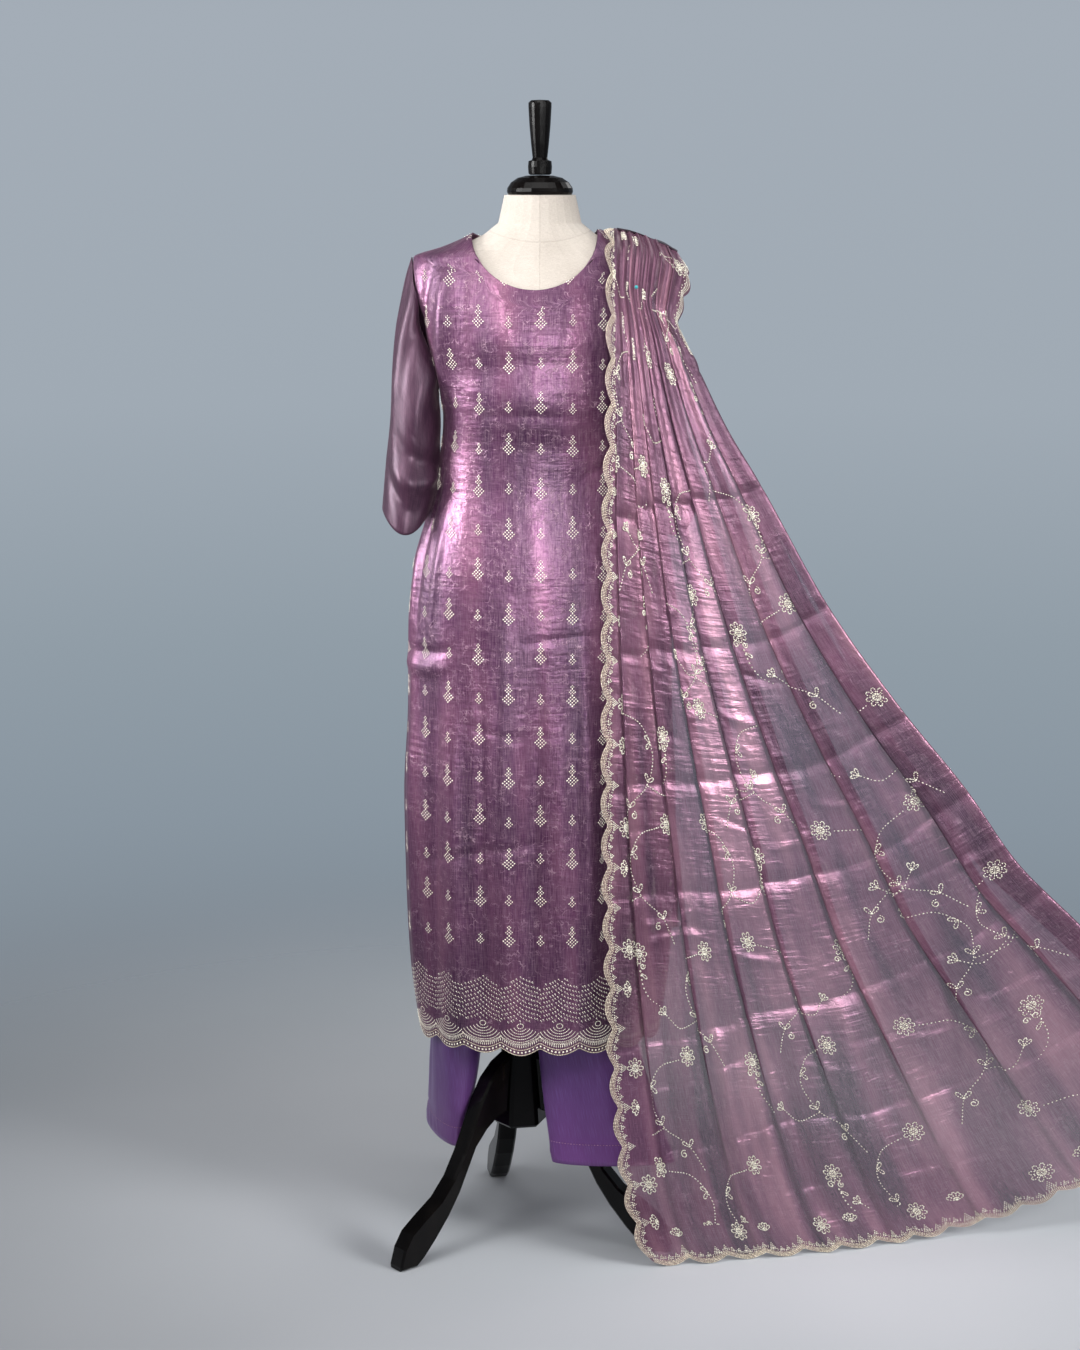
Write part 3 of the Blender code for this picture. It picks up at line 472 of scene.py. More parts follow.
def tissue(name, dark, middle, light, painted_glint, metallic, roughness, alpha, cross_crinkle, crushed=1.0):
    """Two-tone woven tissue silk: lengthways streaks, fine threads and crushed lines, the threads and lines
    mixed towards a pale colour as a painted highlight.
    """
    nodes = material(name)
    cloth = own_cloth(nodes)
    streaks = nodes.noise(cloth, (24.0, 1.8, 1.0), 1.5, 0.5)
    clouds = nodes.noise(cloth, (9.0, 5.0, 1.0), 2.0)
    tone = nodes.math("ADD", nodes.math("MULTIPLY", streaks, 0.60), nodes.math("MULTIPLY", clouds, 0.40))
    colour = nodes.ramp(tone, ((0.36, dark), (0.50, middle), (0.66, light)))
    threads = nodes.noise(cloth, (900.0, 40.0, 1.0), 1.0)
    slubs = nodes.noise(cloth, (60.0, 900.0, 1.0), 1.0)
    grain = nodes.math("ADD", threads, nodes.math("MULTIPLY", slubs, 0.4))
    # painted highlight: the brightest threads are tinted towards the pale glint colour, partly the weave's
    # own paler weft and partly painted sparkle
    colour = nodes.mix(nodes.level(grain, 0.55, 0.95, 0.0, 0.12), colour, painted_glint)
    patches = nodes.level(nodes.noise(cloth, 16.0, 2.0), 0.40, 0.62, 0.15, 1.0)
    broken = nodes.level(nodes.noise(cloth, 110.0, 1.0), 0.47, 0.60)
    web = nodes.math("MULTIPLY", crinkle_lines(nodes, cloth, 105.0, 0.030, 0.050), patches)
    fine = crinkle_lines(nodes, cloth, 170.0, 0.014, 0.09)
    fine = nodes.math("MULTIPLY", fine, nodes.level(nodes.noise(cloth, 27.0, 1.0), 0.42, 0.62))
    lines = nodes.math("MAXIMUM", web, nodes.math("MULTIPLY", fine, 0.7))
    lines = nodes.math("MULTIPLY", nodes.math("MULTIPLY", lines, broken), crushed)
    # painted highlight: the crushed lines are mixed towards the pale glint colour, as if light caught their
    # edges
    colour = nodes.mix(nodes.math("MULTIPLY", lines, 0.36), colour, painted_glint)
    across = nodes.noise(cloth, (16.0, 130.0, 1.0), 2.0)
    across = nodes.math("MULTIPLY", across, patches)
    crush = nodes.noise(cloth, 120.0, 2.0)
    normal = nodes.bump(grain, 0.05, 0.0004)
    normal = nodes.bump(lines, 0.35, 0.0008, normal)
    normal = nodes.bump(crush, 0.45 * crushed, 0.0018, normal)
    normal = nodes.bump(streaks, 0.45, 0.006, normal)
    normal = nodes.bump(across, cross_crinkle, 0.0030, normal)
    rough = nodes.level(streaks, 0.3, 0.7, roughness + 0.07, roughness - 0.07)
    return nodes.finish(Base_Color=colour, Normal=normal, Roughness=rough, Metallic=metallic, Alpha=alpha,
                        Sheen_Weight=0.08, Sheen_Roughness=0.35, Sheen_Tint=rgb(255, 214, 232))


def satin_cloth():
    """Violet satin with faint lengthways threads, bluer towards the top."""
    nodes = material("violet_satin_weave")
    cloth = own_cloth(nodes)
    height = nodes.add("SeparateXYZ", {"Vector": cloth}).outputs["Y"]
    drift = nodes.math("MULTIPLY", nodes.noise(cloth, (8.0, 2.0, 1.0)), 0.10)
    colour = nodes.ramp(nodes.level(nodes.math("ADD", height, drift), 0.12, 0.62),
                        ((0.0, rgb(126, 68, 140)), (0.35, rgb(106, 66, 128)), (1.0, rgb(74, 58, 104))))
    threads = nodes.noise(cloth, (1600.0, 40.0, 1.0), 1.0)
    colour = nodes.mix(nodes.level(threads, 0.45, 0.75, 0.0, 0.22), colour, rgb(160, 130, 205))
    normal = nodes.bump(threads, 0.20, 0.0003)
    soft = nodes.noise(cloth, (30.0, 9.0, 1.0), 2.0)
    normal = nodes.bump(soft, 0.5, 0.004, normal)
    return nodes.finish(Base_Color=colour, Normal=normal, Roughness=0.36, Metallic=0.15,
                        Sheen_Weight=0.30, Sheen_Roughness=0.30, Sheen_Tint=rgb(210, 190, 255))


NECK_SEAM_Z = 1.4167
NECK_SEAM_BOW = 3.0
NECK_SEAM_HALF_WIDTHS = (0.0004, 0.0012)


def linen_cloth():
    """Cream linen stretched over the form, with slubs in the weave."""
    nodes = material("cream_linen_weave")
    place = nodes.add("TexCoord").outputs["Object"]
    weft = nodes.noise(place, (220.0, 220.0, 1500.0), 1.0)
    warp = nodes.noise(place, (1500.0, 1500.0, 220.0), 1.0)
    weave = nodes.math("ADD", weft, warp)
    mottle = nodes.noise(place, 18.0, 4.0)
    colour = nodes.ramp(nodes.math("ADD", nodes.math("MULTIPLY", weave, 0.3),
                                   nodes.math("MULTIPLY", mottle, 0.4)),
                        ((0.38, rgb(176, 166, 156)), (0.62, rgb(196, 187, 177))))
    own = nodes.vector("SUBTRACT", place, tuple(AXIS))
    split = nodes.add("SeparateXYZ", {"Vector": own}).outputs
    front_seam = nodes.math("ABSOLUTE", split["X"])
    arc = nodes.math("MULTIPLY", nodes.math("MULTIPLY", split["X"], split["X"]), NECK_SEAM_BOW)
    above = nodes.math("SUBTRACT", split["Z"], nodes.math("ADD", arc, NECK_SEAM_Z))
    seam = nodes.math("MINIMUM", front_seam, nodes.math("ABSOLUTE", above))
    line = nodes.level(seam, *NECK_SEAM_HALF_WIDTHS, 1.0, 0.0)
    colour = nodes.mix(nodes.math("MULTIPLY", line, 0.16), colour, rgb(120, 104, 92))
    normal = nodes.bump(weave, 0.35, 0.0008)
    normal = nodes.bump(line, 0.3, -0.0008, normal)
    return nodes.finish(Base_Color=colour, Normal=normal, Roughness=0.92, Sheen_Weight=0.15)


def lacquer():
    """Black lacquered wood; the brown of the wood shows where the coat is thin."""
    nodes = material("black_lacquer_wood")
    place = nodes.add("TexCoord").outputs["Object"]
    grain = nodes.noise(place, (26.0, 26.0, 5.0), 4.0, 0.6)
    colour = nodes.ramp(grain, ((0.42, rgb(9, 7, 7)), (0.60, rgb(16, 13, 12)), (0.74, rgb(34, 26, 21))))
    ripple = nodes.noise(place, 34.0, 2.0)
    rough = nodes.level(nodes.noise(place, 30.0, 2.0), 0.35, 0.70, 0.15, 0.22)
    return nodes.finish(Base_Color=colour, Normal=nodes.bump(ripple, 0.06, 0.003), Roughness=rough,
                        Specular_IOR_Level=0.15, Coat_Weight=0.06, Coat_Roughness=0.06)


def metal(name, dark, light, roughness, metallic=1.0, scale=400.0, painted_glint=0.0):
    """Small bright parts, glass and beads, which can be given a faint painted glow in place of their
    sparkle.
    """
    nodes = material(name)
    place = nodes.add("TexCoord").outputs["Object"]
    patches = nodes.noise(place, scale, 2.0)
    colour = nodes.ramp(patches, ((0.36, dark), (0.64, light)))
    rough = nodes.level(nodes.noise(place, scale * 0.4, 2.0), 0.3, 0.7, roughness - 0.06, roughness + 0.08)
    return nodes.finish(Base_Color=colour, Normal=nodes.bump(patches, 0.2, 0.0003), Roughness=rough,
                        Metallic=metallic, Emission_Color=light, Emission_Strength=painted_glint)


SILK = tissue("tissue_silk_crushed", rgb(62, 33, 64), rgb(94, 52, 86), rgb(128, 78, 108), rgb(244, 204, 218),
              metallic=0.50, roughness=0.40, alpha=1.0, cross_crinkle=0.35)
PLAIN = tissue("tissue_silk_plain", rgb(40, 22, 40), rgb(56, 31, 51), rgb(76, 46, 66), rgb(168, 122, 144),
               metallic=0.40, roughness=0.44, alpha=1.0, cross_crinkle=0.12, crushed=0.20)
VEIL = tissue("tissue_veil_sheer", rgb(66, 38, 64), rgb(114, 70, 96), rgb(162, 112, 132), rgb(244, 210, 222),
              metallic=0.50, roughness=0.35, alpha=0.78, cross_crinkle=0.62, crushed=0.45)
SATIN = satin_cloth()
LINEN = linen_cloth()
WOOD = lacquer()
STEEL = metal("bright_steel_worn", rgb(150, 150, 154), rgb(214, 214, 218), roughness=0.24)
TURQUOISE = metal("turquoise_glass", rgb(40, 140, 150), rgb(84, 188, 190), roughness=0.25, metallic=0.0)
THREAD = metal("pink_thread", rgb(150, 104, 132), rgb(226, 178, 200), roughness=0.5, metallic=0.0)
BEAD_LOOK = {"roughness": 0.28, "metallic": 0.0, "scale": 420.0}
# The beads glow a little, a painted glow in place of their sparkle; the two silver copies are one bead and
# differ only in how strongly they glow.
SILVER_BEAD_STRONG_GLOW = metal("silver_beads", rgb(184, 170, 152), rgb(255, 252, 236), painted_glint=0.36, **BEAD_LOOK)
SILVER_BEAD_FAINT_GLOW = metal("pearl_beads", rgb(184, 170, 152), rgb(255, 252, 236), painted_glint=0.10, **BEAD_LOOK)
GOLD_BEAD = metal("gold_beads", rgb(140, 122, 98), rgb(255, 244, 220), painted_glint=0.26, **BEAD_LOOK)

# ---------------- kameez
BODY = columns(KAMEEZ, "z")
FRONT_CREASES = [
    # pressed lines across the chest and belly
    Crease(-0.012, 1.188, -1, 0.155, 0.001, 0.0035, -0.0020),
    Crease(-0.010, 1.246, 2, 0.290, 0.008, 0.0220, -0.0042),
    Crease(-0.100, 1.212, 172, 0.075, 0.003, 0.0040, -0.0010),
    Crease(0.045, 1.214, 174, 0.085, 0.002, 0.0040, -0.0010),
    Crease(0.080, 1.110, 20, 0.070, 0.004, 0.0050, -0.0014),
    # the pull from the bust to the armhole on the viewer's left
    Crease(-0.152, 1.285, 80, 0.200, -0.008, 0.0160, 0.0075),
    Crease(-0.182, 1.330, 70, 0.130, -0.006, 0.0080, -0.0035),
    Crease(-0.136, 1.330, 84, 0.120, 0.004, 0.0080, 0.0020),
    Crease(0.150, 1.262, 98, 0.120, 0.005, 0.0100, 0.0035),
    Crease(0.118, 1.230, 104, 0.110, 0.004, 0.0090, -0.0030),
    # gathers under the neckline
    Crease(-0.044, 1.322, 96, 0.085, 0.002, 0.0045, 0.0012),
    Crease(0.026, 1.318, 84, 0.080, -0.002, 0.0050, 0.0010),
    Crease(-0.105, 1.345, 92, 0.090, 0.002, 0.0060, 0.0014),
    # wrinkles down the viewer's left side, below the waist
    Crease(-0.192, 1.060, 76, 0.210, 0.006, 0.0070, 0.0030),
    Crease(-0.172, 1.010, 80, 0.240, 0.006, 0.0060, -0.0028),
    Crease(-0.205, 0.960, 84, 0.260, -0.004, 0.0070, 0.0032),
    Crease(-0.150, 0.960, 82, 0.200, 0.004, 0.0060, 0.0020),
    Crease(-0.222, 1.010, 72, 0.120, 0.004, 0.0050, -0.0020),
    Crease(-0.175, 0.868, 4, 0.125, -0.004, 0.0060, -0.0032),
    Crease(-0.180, 0.846, 2, 0.120, -0.005, 0.0100, 0.0036),
    Crease(0.028, 0.888, 6, 0.115, 0.002, 0.0045, -0.0024),
    Crease(-0.085, 0.586, 12, 0.240, 0.005, 0.0060, -0.0022),
    Crease(0.110, 0.700, -12, 0.100, 0.004, 0.0070, -0.0018),
    Crease(-0.060, 0.760, 170, 0.110, 0.003, 0.0060, -0.0014),
    Crease(0.090, 0.980, 168, 0.090, 0.003, 0.0060, -0.0016),
    # soft lengthways folds of the skirt
    Crease(-0.118, 0.560, 91, 0.560, 0.004, 0.0130, 0.0075),
    Crease(-0.153, 0.560, 89, 0.600, 0.004, 0.0120, -0.0058),
    Crease(-0.080, 0.600, 90, 0.600, -0.003, 0.0120, -0.0055),
    Crease(-0.048, 0.640, 90, 0.620, 0.003, 0.0130, 0.0064),
    Crease(-0.006, 0.600, 89, 0.560, 0.003, 0.0140, -0.0067),
    Crease(0.032, 0.560, 90, 0.440, 0.002, 0.0120, 0.0038),
    Crease(0.064, 0.640, 91, 0.560, -0.003, 0.0120, 0.0064),
    Crease(0.096, 0.580, 90, 0.480, 0.002, 0.0110, -0.0052),
    Crease(0.140, 0.600, 92, 0.520, 0.004, 0.0130, 0.0058),
    Crease(0.185, 0.660, 90, 0.500, 0.004, 0.0130, -0.0049),
    Crease(-0.200, 0.600, 90, 0.560, 0.004, 0.0120, 0.0052),
]
BACK_CREASES = [
    Crease(0.030, 1.112, 6, 0.170, 0.006, 0.0060, -0.0024),
    Crease(-0.070, 1.092, 172, 0.140, 0.005, 0.0070, -0.0026),
    Crease(-0.020, 1.150, 2, 0.200, 0.008, 0.0160, -0.0036),
    Crease(0.110, 1.230, 80, 0.150, 0.006, 0.0100, 0.0036),
    Crease(-0.130, 1.250, 98, 0.150, 0.006, 0.0100, 0.0034),
    Crease(0.060, 1.330, 86, 0.110, 0.003, 0.0060, 0.0014),
    Crease(-0.040, 1.340, 94, 0.110, 0.003, 0.0060, 0.0012),
    Crease(0.010, 0.875, 4, 0.180, 0.004, 0.0055, -0.0026),
    Crease(-0.140, 0.862, 175, 0.120, 0.004, 0.0060, -0.0028),
    Crease(0.080, 0.590, 10, 0.210, 0.005, 0.0060, -0.0022),
    Crease(-0.165, 0.600, 90, 0.560, 0.004, 0.0130, 0.0067),
    Crease(-0.118, 0.580, 91, 0.520, 0.004, 0.0120, -0.0058),
    Crease(-0.070, 0.620, 90, 0.580, -0.004, 0.0130, 0.0072),
    Crease(-0.015, 0.600, 89, 0.540, 0.004, 0.0130, -0.0064),
    Crease(0.038, 0.620, 90, 0.560, 0.004, 0.0130, 0.0067),
    Crease(0.088, 0.580, 92, 0.500, -0.004, 0.0120, -0.0055),
    Crease(0.136, 0.620, 90, 0.560, 0.004, 0.0130, 0.0061),
    Crease(0.186, 0.600, 90, 0.520, 0.004, 0.0120, -0.0049),
]


def edge_distance(z):
    """How far a panel's side edge lies from the side line: slit, seam, armhole, shoulder."""
    slit = SLIT_OPENING * (np.maximum(SLIT_TOP_Z - z, 0) / (SLIT_TOP_Z - HEM_Z)) ** 2
    height = np.clip((2 * z - UNDERARM_Z - SHOULDER_Z) / (SHOULDER_Z - UNDERARM_Z), -1, 1)
    return SEAM_GAP / 2 + slit + ARMHOLE_DEPTH * np.sqrt(1 - height ** 2)


def panel_point(side, across, z):
    """Points of the front (side -1) or back (side 1) panel: across is 0 at -X and 1 at +X."""
    depth = BODY["front" if side < 0 else "back"](z)
    first = np.arcsin(edge_distance(z) / depth)
    angle = first + (math.pi - 2 * first) * across
    width = BODY["half_width"](z) / np.cos(first)
    swell = 0.0
    for fold in FRONT_FOLDS if side < 0 else BACK_FOLDS:
        length = np.clip((z - fold.z_low) / (fold.z_high - fold.z_low), 0, 1)
        spread = (across - fold.across) * math.pi * width / fold.width
        rise = np.sin(math.pi * np.minimum(1, 1.6 * (1 - length)) / 2)
        swell = swell + fold.height * rise * np.exp(-2 * spread ** 2)
    return np.stack(np.broadcast_arrays(-width * np.cos(angle), side * (depth + swell) * np.sin(angle), z),
                    axis=-1)


def neck_heights(side, shares, steps=500):
    """Height at which each column of the panel meets the neckline."""
    bottom = FRONT_NECK_Z if side < 0 else BACK_NECK_Z
    z = np.linspace(bottom, NECK_TOP_Z, steps)
    reach = NECK_HALF_WIDTH * np.sqrt(1 - ((NECK_TOP_Z - z) / (NECK_TOP_Z - bottom)) ** 2)
    x = panel_point(side, shares[:, None], z[None, :])[..., 0]
    inside = np.abs(x - NECK_CENTRE_X) <= reach
    return np.where(inside.any(axis=1), z[inside.argmax(axis=1)], NECK_TOP_Z)


def scallops(lengths):
    """How far a scalloped edge stands out at each place along it, from 0 to its length."""
    scallop = lengths[-1] / max(1, round(lengths[-1] / SCALLOP_PERIOD))
    phases = np.clip(lengths / scallop, 0, None) % 1.0
    return SEAM_GAP + EDGING_WIDTH + SCALLOP_DEPTH * np.sin(math.pi * phases)


def panel(side, cols, creases):
    """Front (side -1) or back (side 1) panel from its scalloped hem to the neckline."""
    shares = np.linspace(0, 1, cols)
    hem = panel_point(side, shares, np.full(cols, HEM_Z))
    bottoms = HEM_Z - scallops(arc_lengths(hem[None])[0])
    tops = neck_heights(side, shares)
    tip = (SHOULDER_Z - UNDERARM_Z) / (NECK_TOP_Z - UNDERARM_Z)
    below = np.linspace(0, 1, PANEL_LOW_ROWS)[:, None]
    above = np.concatenate([np.linspace(0, tip, PANEL_ARM_ROWS),
                            np.linspace(tip, 1, PANEL_SHOULDER_ROWS)[1:]])[1:, None]
    heights = np.concatenate([bottoms + below * (UNDERARM_Z - bottoms),
                              UNDERARM_Z + above * (tops - UNDERARM_Z)])
    base = panel_point(side, shares[None, :], heights)
    lengths = arc_lengths(base[..., :2])
    u = lengths - lengths[:, -1:] / 2
    points = base - side * grid_normals(base) * relief(u, heights, creases)[..., None]
    return Cloth(points, -side * grid_normals(points), u, heights)


def kameez():
    """Both panels, which stand for the CAD panels and their hem edgings."""
    front = panel(-1, FRONT_COLUMNS, FRONT_CREASES)
    back = panel(1, BACK_COLUMNS, BACK_CREASES)
    for cloth, label, outward in ((front, "front", 1), (back, "back", -1)):
        made = cloth_mesh(f"kameez_{label}_cloth", cloth, SILK, CLOTH_WALL, outward=outward)
        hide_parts("kameez_" + label, "kameez_edging_" + label)
    return front, back


# ---------------- sleeves
SLEEVE_GIRTH = 0.30
SLEEVE_CREASES = [
    # round the tube u runs from the shoulder line past the front at a quarter of the girth
    Crease(0.075, 0.235, 68, 0.190, 0.012, 0.0130, 0.0062),
    Crease(0.105, 0.215, 74, 0.200, 0.010, 0.0110, -0.0060),
    Crease(0.048, 0.190, 80, 0.240, 0.008, 0.0120, -0.0048),
    Crease(0.022, 0.170, 86, 0.220, 0.006, 0.0110, 0.0040),
    Crease(0.090, 0.105, 18, 0.110, -0.010, 0.0130, 0.0056),
    Crease(0.085, 0.070, 12, 0.110, -0.008, 0.0120, -0.0060),
    Crease(0.060, 0.040, 160, 0.090, 0.008, 0.0110, 0.0040),
    Crease(0.190, 0.200, 104, 0.200, 0.010, 0.0120, 0.0055),
    Crease(0.220, 0.160, 96, 0.200, 0.008, 0.0110, -0.0050),
    Crease(0.250, 0.110, 88, 0.160, 0.006, 0.0110, 0.0036),
    Crease(0.205, 0.080, 165, 0.100, 0.008, 0.0120, -0.0048),
]
TROUSER_CREASES = [
    # across the gathered hem band, then lengthways
    Crease(0.060, 0.176, 4, 0.100, 0.003, 0.0030, -0.0020),
    Crease(0.200, 0.178, 176, 0.120, 0.003, 0.0030, -0.0020),
    Crease(0.300, 0.170, 4, 0.080, 0.002, 0.0030, -0.0018),
    Crease(0.110, 0.330, 86, 0.300, 0.006, 0.0120, 0.0030),
    Crease(0.170, 0.300, 92, 0.280, 0.006, 0.0110, -0.0028),
    Crease(0.250, 0.330, 90, 0.300, 0.006, 0.0120, 0.0030),
    Crease(0.320, 0.300, 88, 0.260, 0.006, 0.0110, -0.0026),
]
HEM_BAND = 0.030
HEM_PUCKERS = 58
PUCKER_HEIGHT = 0.0011
WAIST_RADIUS = 0.13


def sleeve(side, way):
    """Tube from the armhole to the cuff; way is -1 for the -X side and 1 for the +X side."""
    angles = np.arange(SLEEVE_AROUND) * 2 * math.pi / SLEEVE_AROUND
    outward, front = (1 + np.cos(angles)) / 2, np.sin(angles)
    middle_z, half_z = (SHOULDER_Z + UNDERARM_Z) / 2, (SHOULDER_Z - UNDERARM_Z) / 2
    z = middle_z + half_z * np.cos(angles)
    out = BODY["half_width"](z) + SEAM_GAP + CLOTH_WALL
    rings = [np.stack([way * out, -ARMHOLE_DEPTH * front, z], axis=-1)]
    for row in SLEEVE:
        outer_x = row.outer_x if way < 0 else row.held_x
        x = row.inner_x + (outer_x - row.inner_x) * outward
        z = row.inner_z + (row.outer_z - row.inner_z) * outward - row.dip * np.maximum(0, front) ** 2
        rings.append(np.stack([way * x, -row.half_depth * front, z], axis=-1))
    rings = np.array(rings)
    knots = np.concatenate([[0], np.cumsum(np.linalg.norm(np.diff(rings, axis=0), axis=2).mean(axis=1))])
    rows = np.linspace(0, knots[-1], SLEEVE_ROWS)
    grid = lofted(knots, rings, rows)
    normals = grid_normals(grid, closed=True) * (1 if way < 0 else -1)
    u = np.broadcast_to(angles / (2 * math.pi) * SLEEVE_GIRTH, grid.shape[:2]).copy()
    v = np.broadcast_to((knots[-1] - rows)[:, None], grid.shape[:2]).copy()
    points = grid + normals * relief(u, v, SLEEVE_CREASES)[..., None]
    cloth = Cloth(points, normals, u, v)
    made = cloth_mesh(f"sleeve_{side}_cloth", cloth, PLAIN, CLOTH_WALL, closed=True, outward=-way)
    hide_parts("sleeve_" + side)
    return cloth


# ---------------- trousers
def trouser(side, way, rings):
    """Half of the hips, then one leg down to its hem band; way is -1 for the -X side, 1 for the +X side."""
    spots = []
    angle = math.pi * (np.linspace(0, 1, LEG_AROUND) - 0.5)
    for z in HIP_ROWS:
        half = BODY["half_width"](z) - TROUSER_INSET
        depth = np.where(angle < 0, BODY["front"](z), BODY["back"](z)) - TROUSER_INSET
        x = SEAM_GAP / 2 + (half - SEAM_GAP / 2) * np.cos(angle)
        spots.append(np.stack([way * x, depth * np.sin(angle), np.full_like(x, z)], axis=-1))
    for ring in rings:
        turn = math.radians(ring.turn)
        opening = SEAM_GAP / (2 * ring.half_depth)
        angle = np.linspace(-math.pi + opening, math.pi - opening, LEG_AROUND)
        wide = way * ring.half_width * np.cos(angle)
        deep = ring.half_depth * np.sin(angle)
        spots.append(np.stack([ring.x + wide * math.cos(turn) - deep * math.sin(turn),
                               ring.y + wide * math.sin(turn) + deep * math.cos(turn),
                               np.full_like(wide, ring.z)], axis=-1))
    spots = np.array(spots)[::-1]
    knots = spots[:, 0, 2]
    rows = np.linspace(knots[0], knots[-1], LEG_ROWS)
    grid = lofted(knots, spots, rows)
    u = arc_lengths(grid)
    v = np.broadcast_to(rows[:, None], u.shape).copy()
    normals = grid_normals(grid) * (1 if way > 0 else -1)
    above = np.clip((v - v.min()) / HEM_BAND, 0, 1)
    puckers = PUCKER_HEIGHT * np.sin(2 * math.pi * HEM_PUCKERS * u / u.max() + 6 * np.sin(24 * u))
    height = relief(u, v, TROUSER_CREASES) + puckers * np.sin(math.pi * above) ** 2
    points = grid + normals * height[..., None]
    cloth = Cloth(points, normals, u, v)
    made = cloth_mesh(f"trouser_{side}_cloth", cloth, SATIN, CLOTH_WALL, outward=way)
    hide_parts("trouser_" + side)
    return cloth


def waistband(around=64, rows=8):
    """Plain band round the waist, hidden by the kameez."""
    angles = np.arange(around) * 2 * math.pi / around
    z = np.linspace(WAISTBAND_Z[0], WAISTBAND_Z[1], rows)[:, None]
    half = BODY["half_width"](z) - TROUSER_INSET
    depth = np.where(np.sin(angles) < 0, BODY["front"](z), BODY["back"](z)) - TROUSER_INSET
    points = np.stack([half * np.cos(angles), depth * np.sin(angles), z + 0 * angles], axis=-1)
    u = np.broadcast_to(angles * WAIST_RADIUS, points.shape[:2]).copy()
    v = np.broadcast_to(z, points.shape[:2]).copy()
    cloth = Cloth(points, grid_normals(points, closed=True), u, v)
    made = cloth_mesh("trouser_waistband_cloth", cloth, SATIN, CLOTH_WALL, closed=True)
    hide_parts("trouser_waistband")


# ---------------- dupatta
# A pleat's heading in radians where it turns back, the share of its cloth in each turn, the
# depth up to which it only swells, and the share of its height that is left when pressed.
FOLD_HEADING = 2.85
FOLD_TURN = 0.05
FOLD_SWELL = 0.30
FOLD_FLATNESS = 0.62


def summed(values, steps):
    """Running integral of the values over the steps."""
    return np.concatenate([[0], np.cumsum((values[1:] + values[:-1]) / 2 * np.diff(steps))])


def pleat_profile(share, places, steps=np.linspace(0, 1, 401)):
    """Cross-section of a knife pleat that leans towards -X, by its share of chord to cloth.

    Gives the place along the chord and the height off it, both for a chord of 1. The cloth
    turns back under itself over a short stretch in the middle, or only swells if it is loose.
    """
    least, most = 0.0, 1.0
    for _ in range(22):
        depth = (least + most) / 2
        half = FOLD_TURN + FOLD_SWELL * max(0.0, depth - FOLD_SWELL)
        rise = np.clip((half + FOLD_TURN - np.abs(steps - 0.5)) / (2 * FOLD_TURN), 0, 1)
        rise = rise * rise * (3 - 2 * rise)
        heading = FOLD_HEADING * min(1.0, depth / FOLD_SWELL) * rise
        if np.mean(np.cos(heading)) > share:
            least = depth
        else:
            most = depth
    along, height = summed(np.cos(heading), steps), summed(np.sin(heading), steps)
    height = (height - steps * height[-1]) * FOLD_FLATNESS / along[-1]
    return np.interp(places, steps, along / along[-1]), np.interp(places, steps, height)


def pleated(surface, rows, per_pleat, tightness):
    """Pleated sheet on a patch that runs down from the shoulder, and its outward directions."""
    marks = np.concatenate([[0], np.cumsum(PLEAT_SHARES)])
    places = np.arange(per_pleat) / per_pleat
    across, heights = [], []
    for down in rows:
        ends = surface(marks, np.full(len(marks), down))
        widths = np.linalg.norm(np.diff(ends, axis=0), axis=1)
        along, height = pleat_profile(min(0.995, tightness(down)), places)
        line = [marks[k] + PLEAT_SHARES[k] * along for k in range(len(widths))]
        across.append(np.append(np.concatenate(line), 1.0))
        heights.append(np.append(np.concatenate([height * width for width in widths]), 0.0))
    across = np.clip(np.array(across), 0, 1)
    heights = np.array(heights)
    down = np.broadcast_to(np.asarray(rows)[:, None], across.shape)
    outward = patch_outward(surface, across, down, 1, (0.0, -1.0, 0.0), 0.004)
    return surface(across, down) + outward * heights[..., None], outward


SHOULDER_BORDER = 0.030
SHOULDER_BORDER_END = 0.190
SHOULDER_SCALLOP = 0.040
# Fine gathers over the shoulder, in waves a metre of cloth, and how far down they reach.
GATHERS = 31
GATHER_REACH = 0.28
GATHER_HEIGHT = 0.0012


def veil_tightness(down):
    """Share of chord to cloth in the pleats: tight at the shoulder, almost flat at the floor."""
    return 0.27 + 0.69 * min(1.0, down / 0.92) ** 1.2


def with_scalloped_end(grid, u, v, lengths, below):
    """Points and places with two more rows, which reach below the end in scallops."""
    reach = scallops(lengths)
    ends = [grid[-1] + below * reach[:, None] * share for share in (0.5, 1.0)]
    grid = np.concatenate([grid, np.stack(ends)])
    u = np.concatenate([u, u[-1:], u[-1:]])
    v = np.concatenate([v, v[-1:] + reach / 2, v[-1:] + reach])
    return grid, u, v


def shoulder_scallops(grid, u, v):
    """The far border's scalloped edge, which shows on the shoulder."""
    beyond_fold = np.clip((u - VEIL_WIDTH + SHOULDER_BORDER) / SHOULDER_BORDER, 0, 1) ** 2
    fade = np.clip(1 - v / SHOULDER_BORDER_END, 0, 1) ** 0.5
    waves = np.abs(np.sin(math.pi * v / SHOULDER_SCALLOP)) * fade
    sideways = unit(grid[:, -1] - grid[:, -3])[:, None]
    return sideways * (SCALLOP_DEPTH * waves * beyond_fold)[..., None]


def folded_under(grid, facing, rows):
    """Columns that turn under the far edge and run back below it."""
    width = columns(FOLDED_UNDER, "down")["width"](rows)[:, None]
    last = grid[:, -1]
    aside = unit(last - grid[:, -3])
    turns = np.linspace(0, math.pi, 7)[1:]
    extra = [last + TURN_RADIUS * (math.sin(t) * aside - (1 - math.cos(t)) * facing) for t in turns]
    extra += [last - 2 * TURN_RADIUS * facing - aside * width * share for share in (0.2, 0.4, 0.6, 0.8, 1.0)]
    return np.stack(extra, axis=1)


